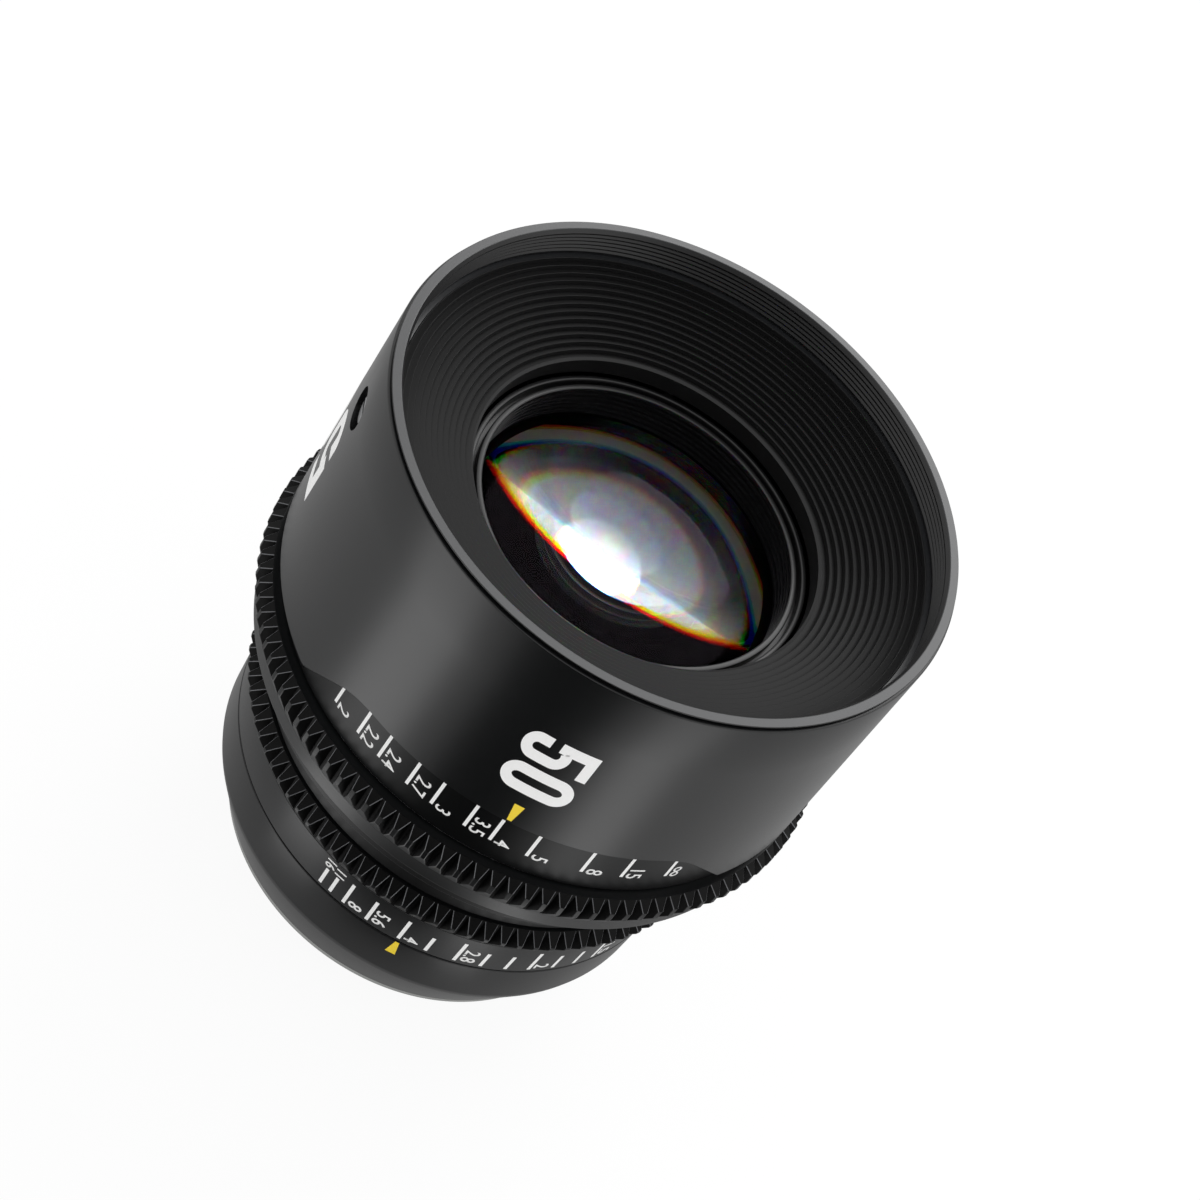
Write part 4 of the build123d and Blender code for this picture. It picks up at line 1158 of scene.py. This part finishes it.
@dataclass
class IrisScale:
    """The aperture scale behind the iris gear.

    Attributes:
        joint_r: Radius of the ring's rear end.
        slope: How fast it grows towards the front, mm per mm.
        joint_z: Height of the ring's rear end.
        long_front: Height of the long ticks' front ends.
        short_front: Height of the short ticks' front ends.
        rear_z: Height of the ticks' rear ends.
        tick: Width of a tick.
        text_z: Height where the numerals start.
        marks: Apertures with their azimuths at rest; a tick without a number is bare.
    """

    joint_r: float = 36.0
    slope: float = 0.058
    joint_z: float = 18.4
    long_front: float = 24.0
    short_front: float = 22.7
    rear_z: float = 19.0
    tick: float = 0.55
    text_z: float = 19.3
    marks: tuple[tuple[str, float], ...] = (
        ("16", -113.0), ("11", -109.9), ("8", -106.0), ("5.6", -99.5), ("4", -91.0),
        ("", -84.2), ("2.8", -77.1), ("", -70.6), ("", -64.4), ("2", -58.4), ("", -52.0),
        ("", -46.0), ("1.5", -40.5),
    )

    def build(self) -> None:
        """Makes the ticks and the numerals."""
        ticks, letters = [], []
        for number, (text, azimuth) in enumerate(self.marks):
            crowded = text in ("16", "11")
            front = self.short_front if crowded or not text else self.long_front
            ends = self.surface(front), self.surface(self.rear_z)
            tick = Mark(azimuth, front, self.rear_z, self.tick, self.tick, *ends)
            ticks.append(tick.build(f"iris_tick_{number}"))
            if not text:
                continue
            shape = {"size": 2.3, "width": 0.88, "weight": 0.03, "slope": self.slope}
            line = Lettering(text, azimuth + 1.0, self.text_z, radius=0.0, **shape)
            if crowded:
                line.azimuth, line.height, line.size = azimuth - 1.4, 23.1, 1.8
            line.radius = self.surface(line.height)
            letters.append(line.build(f"iris_numeral_{number}"))
        for name, parts in (("iris_scale_ticks", ticks), ("iris_scale_numerals", letters)):
            Bench.finish(Bench.join(name, parts), WHITE_FILL, Body.IRIS, "black_gear")

    def surface(self, height: float) -> float:
        """Returns the ring's radius at a height, mm."""
        return self.joint_r + self.slope * (height - self.joint_z)


@dataclass
class ShellMarks:
    """The painted marks of the fixed shell: two index wedges and the focal length."""

    radius: float = 42.5
    pen_width: float = 1.45

    def build(self) -> None:
        """Makes the two yellow wedges and the large numerals."""
        ends = {"front_r": self.radius, "rear_r": self.radius}
        focus = Mark(-89.9, 64.4, 60.8, front_width=1.52, rear_width=0.67, **ends)
        ends = {"front_r": 36.0, "rear_r": 35.87}
        iris = Mark(-90.5, 18.0, 15.0, front_width=0.63, rear_width=1.58, **ends)
        wedges = [focus.build("focus_wedge"), iris.build("iris_wedge")]
        wedges = Bench.join("index_wedges", wedges)
        Bench.finish(wedges, YELLOW_FILL, Body.SHELL, "black_anodised")
        drawn = {"width": 1, "weight": 0, "radius": self.radius, "pen_width": self.pen_width}
        front = Lettering("50", -96.8, 79.3, size=10.2, length=12.4, align="LEFT", **drawn)
        flank = Lettering("50", -179.7, 75.5, size=14.2, length=16.3, align="CENTER", **drawn)
        flank.around = True
        numerals = [front.build("front_numerals"), flank.build("flank_numerals")]
        numerals = Bench.join("focal_length_numerals", numerals)
        Bench.finish(numerals, WHITE_FILL, Body.SHELL, "black_anodised")


@dataclass
class Element:
    """One glass element; a positive radius bulges outward, None is flat.

    Attributes:
        node: The solid that it stands for.
        finish: Its glass.
        edge: Radius of its ground rim.
        high: Height of the front face's edge.
        low: Height of the rear face's edge.
        front: Curve of the front face, mm.
        rear: Curve of the rear face, mm.
        clear_front: Radius of the polished front.
        clear_rear: Radius of the polished rear.
        clear_flat: Radius of the cement.
        samples: Points of a curve from the axis to its edge.
    """

    node: str
    finish: GlassFinish
    edge: float
    high: float
    low: float
    front: float | None
    rear: float | None
    clear_front: float
    clear_rear: float
    clear_flat: float = 18.0
    samples: int = 18

    def polished(self, edge_z: float, radius: float | None, clear: float, out: int) -> list[Point]:
        """Samples one polished surface from the axis to its edge.

        Args:
            edge_z: Height of its edge.
            radius: Its curve, mm.
            clear: Radius of its edge.
            out: One for a front face, minus one for a rear face.

        Returns:
            Radius and height pairs in mm.
        """
        if radius is None:
            return [(0.0, edge_z), (clear, edge_z)]
        side = out if radius > 0 else -out
        curve = abs(radius)
        rim = curve - math.sqrt(curve * curve - clear * clear)
        points = []
        for step in range(self.samples + 1):
            r = clear * step / self.samples
            fall = curve - math.sqrt(curve * curve - r * r)
            points.append((r, edge_z + side * (rim - fall)))
        return points

    def is_ground(self, middle: Vector, normal: Vector) -> bool:
        """Tells whether a face belongs to the ground rim, which is inked black."""
        radius = math.hypot(middle.x, middle.y)
        curve, clear = self.front, self.clear_front
        if normal.z < 0:
            curve, clear = self.rear, self.clear_rear
        return abs(normal.z) < 0.1 or (curve is not None and radius > clear)

    def is_front_face(self, middle: Vector, normal: Vector) -> bool:
        """Tells whether a face belongs to the polished front."""
        within = math.hypot(middle.x, middle.y) < self.clear_front
        return within and middle.z > self.high - 0.01

    def is_rear_seat(self, middle: Vector, normal: Vector) -> bool:
        """Tells whether a face belongs to the ground flat round the polished rear."""
        return math.hypot(middle.x, middle.y) > self.clear_rear and abs(middle.z - self.low) < 0.01

    def is_cemented(self, middle: Vector, normal: Vector) -> bool:
        """Tells whether a face is the flat one that is cemented to a neighbour."""
        if math.hypot(middle.x, middle.y) > min(self.edge, self.clear_flat):
            return False
        front = self.front is None and abs(middle.z - self.high) < 0.01
        rear = self.rear is None and abs(middle.z - self.low) < 0.01
        return front or rear

    def build(self) -> None:
        """Turns the element and gives it its glass."""
        top = self.polished(self.high, self.front, self.clear_front, 1)
        base = self.polished(self.low, self.rear, self.clear_rear, -1)
        outline = top + [(self.edge, self.high), (self.edge, self.low)] + base[::-1]
        piece = Bench.turn(self.node + "_glass", outline, steps=192, angle=25, closed=False)
        Bench.paint_faces(piece, EDGE_INK, self.is_ground)
        Bench.paint_faces(piece, CEMENT, self.is_cemented)
        if self.finish is FRONT_GLASS:
            Bench.paint_faces(piece, FRONT_FACE, self.is_front_face)
        if self.finish is MIDDLE_GLASS:
            Bench.paint_faces(piece, GROUND_SEAT, self.is_rear_seat)
        Bench.finish(piece, self.finish, Body.OPTICS, "coated_glass", [self.node])


@dataclass
class Optics:
    """The moving block's visible end: cell nose, retaining ring and the glass."""

    elements: list[Element] = field(
        default_factory=lambda: [
            Element("element_1_front_meniscus", FRONT_GLASS, 24.0, 73.6, 70.6, 53, 201, 23.3, 22.6),
            Element("element_2_meniscus", MIDDLE_GLASS, 20.8, 62.5, 60.9, 34.4, -80.6, 19.9, 16.9),
            Element("element_3_crown", CROWN_GLASS, 18.0, 57.8, 56.0, 34.2, None, 16.9, 18.0),
            Element("element_4_flint", CROWN_GLASS, 18.0, 56.0, 47.2, None, -21.6, 18.0, 15.5),
            Element("element_5_flint", REAR_GLASS, 17.0, 40.6, 32.7, -20.5, None, 15.0, 17.0),
            Element("element_6_crown", REAR_GLASS, 17.0, 32.7, 31.0, None, 36, 17.0, 16.0),
            Element("element_7_biconvex", CROWN_GLASS, 18.5, 18.5, 16.5, 90, 45, 17.6, 17.6),
            Element("element_8_rear", CROWN_GLASS, 18.5, 8.5, 6.0, 60, 200, 17.6, 17.6),
        ]
    )
    grooves: int = 5
    groove_pitch: float = 0.95

    def build(self) -> None:
        """Makes the cell, the retaining ring and every element."""
        nose: list[Point] = [
            (22.6, 70.0), (31.2, 70.0), (31.2, 72.3), (31.0, 72.5), (25.7, 72.5),
            (25.7, 79.0), (25.62, 79.14), (25.45, 79.2), (25.15, 79.2), (24.98, 79.12),
            (24.9, 78.95), (24.9, 77.6), (24.3, 77.6), (24.3, 73.6), (24.0, 73.6),
            (24.0, 70.6), (22.6, 70.6),
        ]
        cell = Bench.turn("front_cell_turned", nose, steps=240, angle=25)
        Bench.finish(cell, TURNED_BLACK, Body.OPTICS, "matte_black", ["front_cell"])
        outline: list[Point] = [
            (23.4, 73.6), (24.3, 73.6), (24.3, 78.8), (24.22, 78.94), (24.08, 79.0),
            (23.62, 79.0), (23.46, 78.92), (23.4, 78.75),
        ]
        for groove in range(self.grooves):
            height = 78.4 - groove * self.groove_pitch
            outline += [(23.4, height), (23.9, height - 0.42), (23.42, height - 0.5)]
        ring = Bench.turn("front_retaining_ring_turned", outline, steps=240, angle=25)
        Bench.finish(ring, TURNED_BLACK, Body.OPTICS, "matte_black", ["front_retaining_ring"])
        for element in self.elements:
            element.build()


@dataclass
class Studio:
    """The pale floor, the soft lamps and the camera of the portrait.

    Attributes:
        floor_z: Height of the floor.
        camera_at: Place of the camera, mm.
        camera_turn: Its rotation, as a quaternion.
        lens_mm: Its focal length on a sensor 36 mm wide.
        wall: Radius of the wall that mirrors the cards.
        card_near: Way from the lens axis over the wall to a card's near edge, mm.
        card_far: The same way to its far edge, mm.
        aim: Height that the lamps face.
    """

    floor_z: float = -5.4
    camera_at: tuple[float, float, float] = (-71.4889, -322.4654, 392.5665)
    camera_turn: tuple[float, float, float, float] = (0.9041291, 0.3479777, -0.1597901, 0.1895501)
    lens_mm: float = 99.672
    wall: float = 36.0
    card_near: float = 52.0
    card_far: float = 900.0
    aim: float = 45.0

    def build(self) -> None:
        """Makes the camera, the floor, the world, the lamps and the cards."""
        bpy.context.scene.view_settings.view_transform = "Standard"
        self.camera()
        self.floor()
        self.world()
        self.lamp("overhead_softbox", (200, 560, 600), side=0.6, watts=2.6)
        self.lamp("fill_softbox", (360, -120, 300), side=0.5, watts=0.15)
        self.card("flag_card", -107, -86, light=0.0)
        self.card("left_strip_card", -130, -115, light=2.2)
        self.card("right_strip_card", -80, -70, light=1.9)
        self.front_flag()

    def camera(self) -> None:
        """Sets the camera where the photograph was taken from."""
        data = bpy.data.cameras.new("portrait_camera")
        data.lens = self.lens_mm
        data.sensor_width = 36
        data.clip_start = 0.01
        data.clip_end = 50
        camera = self.stand(data, Vector(self.camera_at) * MM, Quaternion(self.camera_turn))
        bpy.context.scene.camera = camera

    @staticmethod
    def stand(data: bpy.types.ID, at: Vector, turn: Quaternion) -> Piece:
        """Puts a camera or a lamp in its place, in metres, under its data's name."""
        item = bpy.data.objects.new(data.name, data)
        bpy.context.scene.collection.objects.link(item)
        item.location = at
        item.rotation_mode = "QUATERNION"
        item.rotation_quaternion = turn
        return item

    @staticmethod
    def seen_rays(tree: Tree, path: bpy.types.bpy_prop_collection) -> Socket:
        """Builds the share that is one where a surface is seen, and not just lighting."""
        seen = work_out(tree, "MAXIMUM", path["Is Camera Ray"], path["Is Glossy Ray"])
        return work_out(tree, "MAXIMUM", seen, path["Is Transmission Ray"])

    def floor(self) -> None:
        """Lays the pale floor, which shows white and keeps the lens's shadow."""
        Bench.pick()
        bpy.ops.mesh.primitive_plane_add(size=12, location=(0, 0, self.floor_z * MM))
        floor = Bench.christen("studio_floor")
        paper = bpy.data.materials.new("white_paper")
        tree = empty_tree(paper)
        path = add_node(tree, "LightPath").outputs
        share = work_out(tree, "MULTIPLY", self.seen_rays(tree, path), 0.9)
        grain = add_node(tree, "TexNoise", {"Scale": 300.0}).outputs[0]
        shade = spread_range(tree, grain, 0.88, 0.92)
        matt = add_node(tree, "BsdfDiffuse", {"Color": shade}).outputs["BSDF"]
        where = add_node(tree, "TexCoord").outputs["Object"]
        reach = add_node(tree, "VectorMath", {"operation": "LENGTH", 0: where}).outputs["Value"]
        # Painted shade: in reflections the floor dims towards the lens, standing in for the shade
        # round its foot.
        reflected_with_painted_shade = spread_range(tree, reach, 0.46, 0.7, start=0.05, end=0.2)
        settings = {0: path["Is Glossy Ray"], 2: 1.02, 3: reflected_with_painted_shade}
        level = add_node(tree, "Mix", settings).outputs[0]
        glow = add_node(tree, "Emission", {"Color": WHITE_LIGHT, "Strength": level}).outputs[0]
        add_node(tree, "OutputMaterial", {"Surface": mix_shaders(tree, share, matt, glow)})
        paper.cycles.emission_sampling = "NONE"
        floor.data.materials.append(paper)

    def world(self) -> None:
        """Surrounds the lens with white that shows, and less light that falls."""
        world = bpy.data.worlds.new("studio_white")
        bpy.context.scene.world = world
        tree = empty_tree(world)
        seen = self.seen_rays(tree, add_node(tree, "LightPath").outputs)
        strength = spread_range(tree, seen, 0.8, 1.0)
        back = add_node(tree, "Background", {"Color": WHITE_LIGHT, "Strength": strength})
        add_node(tree, "OutputWorld", {"Surface": back.outputs["Background"]})
        world.cycles.sampling_method = "NONE"

    def card(self, name: str, start: float, end: float, light: float) -> None:
        """Lays a card on the floor that only shows in the barrel's satin reflections.

        The barrel's wall mirrors the floor in front of it: the wall at an azimuth sees the
        card along twice that azimuth less the camera's own.

        Args:
            name: Name of the card.
            start: Wall azimuth that sees the card's first edge, degrees.
            end: Wall azimuth that sees its last edge, degrees.
            light: Its glow; nothing for a black flag.
        """
        camera_azimuth = math.degrees(math.atan2(self.camera_at[1], self.camera_at[0]))
        corners = []
        near, far = self.card_near, self.card_far
        for azimuth, reach in ((start, near), (start, far), (end, far), (end, near)):
            foot = place(self.wall, azimuth, self.floor_z + 0.5)
            corners.append(foot + place(reach - self.wall, 2 * azimuth - camera_azimuth, 0))
        self.hang(name, corners, Vector((0, 0, 0.2)) * MM, light)

    def front_flag(self) -> None:
        """Stands a black flag in front, which the far side of the baffle mirrors."""
        outline = ((-600, -4), (600, -4), (600, 520), (-600, 520))
        corners = [Vector((x, -560, z)) * MM for x, z in outline]
        self.hang("front_flag", corners, Vector((0, -1, 0)) * MM, 0.05)

    def hang(self, name: str, corners: list[Vector], depth: Vector, light: float) -> None:
        """Hangs one card, which only glossy rays see.

        Args:
            name: Name of the card.
            corners: Its four corners in metres.
            depth: Its thickness as a vector.
            light: Its glow.
        """
        flat = Bench.cage(name, corners + [corner + depth for corner in corners])
        sheet = bpy.data.materials.new(name)
        tree = empty_tree(sheet)
        glow = add_node(tree, "Emission", {"Color": WHITE_LIGHT, "Strength": light}).outputs[0]
        add_node(tree, "OutputMaterial", {"Surface": glow})
        sheet.cycles.emission_sampling = "NONE"
        flat.data.materials.append(sheet)
        for ray in ("camera", "diffuse", "shadow", "transmission"):
            setattr(flat, "visible_" + ray, False)

    def lamp(self, name: str, at: tuple[float, float, float], side: float, watts: float) -> None:
        """Hangs one round softbox that faces the lens.

        Args:
            name: Name of the lamp.
            at: Its place in mm.
            side: Its width in metres.
            watts: Its power.
        """
        data = bpy.data.lights.new(name, "AREA")
        data.shape = "DISK"
        data.size = side
        data.energy = watts
        spot = Vector(at) * MM
        self.stand(data, spot, (spot - Vector((0, 0, self.aim)) * MM).to_track_quat("Z", "Y"))


def dress_carried(frame: dict) -> None:
    """Gives every solid that is shown as it is the finish of its slot.

    Args:
        frame: The loaded frame.
    """
    slots = {row["node"]: row["material_slot"] for row in frame["record"]["subparts"]}
    for node, solid in frame["nodes"].items():
        finish = EDGE_INK if node in INKED_NODES else SLOT_FINISHES[slots[node]]
        solid.data.materials.clear()
        solid.data.materials.append(finish.material())


def gear_rings() -> list[GearRing]:
    """Lists the two gear rings, focus first."""
    focus_outline: list[Point] = [
        (36.8, 41.4), (42.05, 41.4), (42.22, 41.48), (42.3, 41.7), (42.4, 44.0),
        (42.5, 44.2), (42.5, 50.0), (39.6, 50.0), (39.6, 53.0), (36.8, 53.0),
    ]
    iris_outline: list[Point] = [
        (34.54, 18.4), (35.88, 18.4), (35.98, 18.45), (36.0, 18.55), (36.4, 25.3),
        (36.6, 25.6), (36.6, 30.95), (34.54, 30.95),
    ]
    return [
        GearRing(
            "focus_gear_ring", "focus_ring", Body.FOCUS, teeth=108, phase=-105.23, root=42.5,
            tip=44.0, front=50.0, land=(48.6, 46.8), runout=44.1, outline=focus_outline,
        ),
        GearRing(
            "iris_gear_ring", "iris_ring", Body.IRIS, teeth=94, phase=-102.5, root=36.6,
            tip=38.4, front=30.95, land=(29.15, 28.5), runout=25.7, outline=iris_outline,
        ),
    ]


def main() -> None:
    """Loads the frame, dresses the lens and sets the studio."""
    logging.basicConfig(level=logging.INFO, format="%(name)s: %(message)s")
    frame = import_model()
    dress_carried(frame)
    makers = [Shell(), *gear_rings(), FocusScale(), IrisScale(), ShellMarks(), Optics(), Studio()]
    for maker in makers:
        maker.build()


if __name__ == "__main__":
    main()
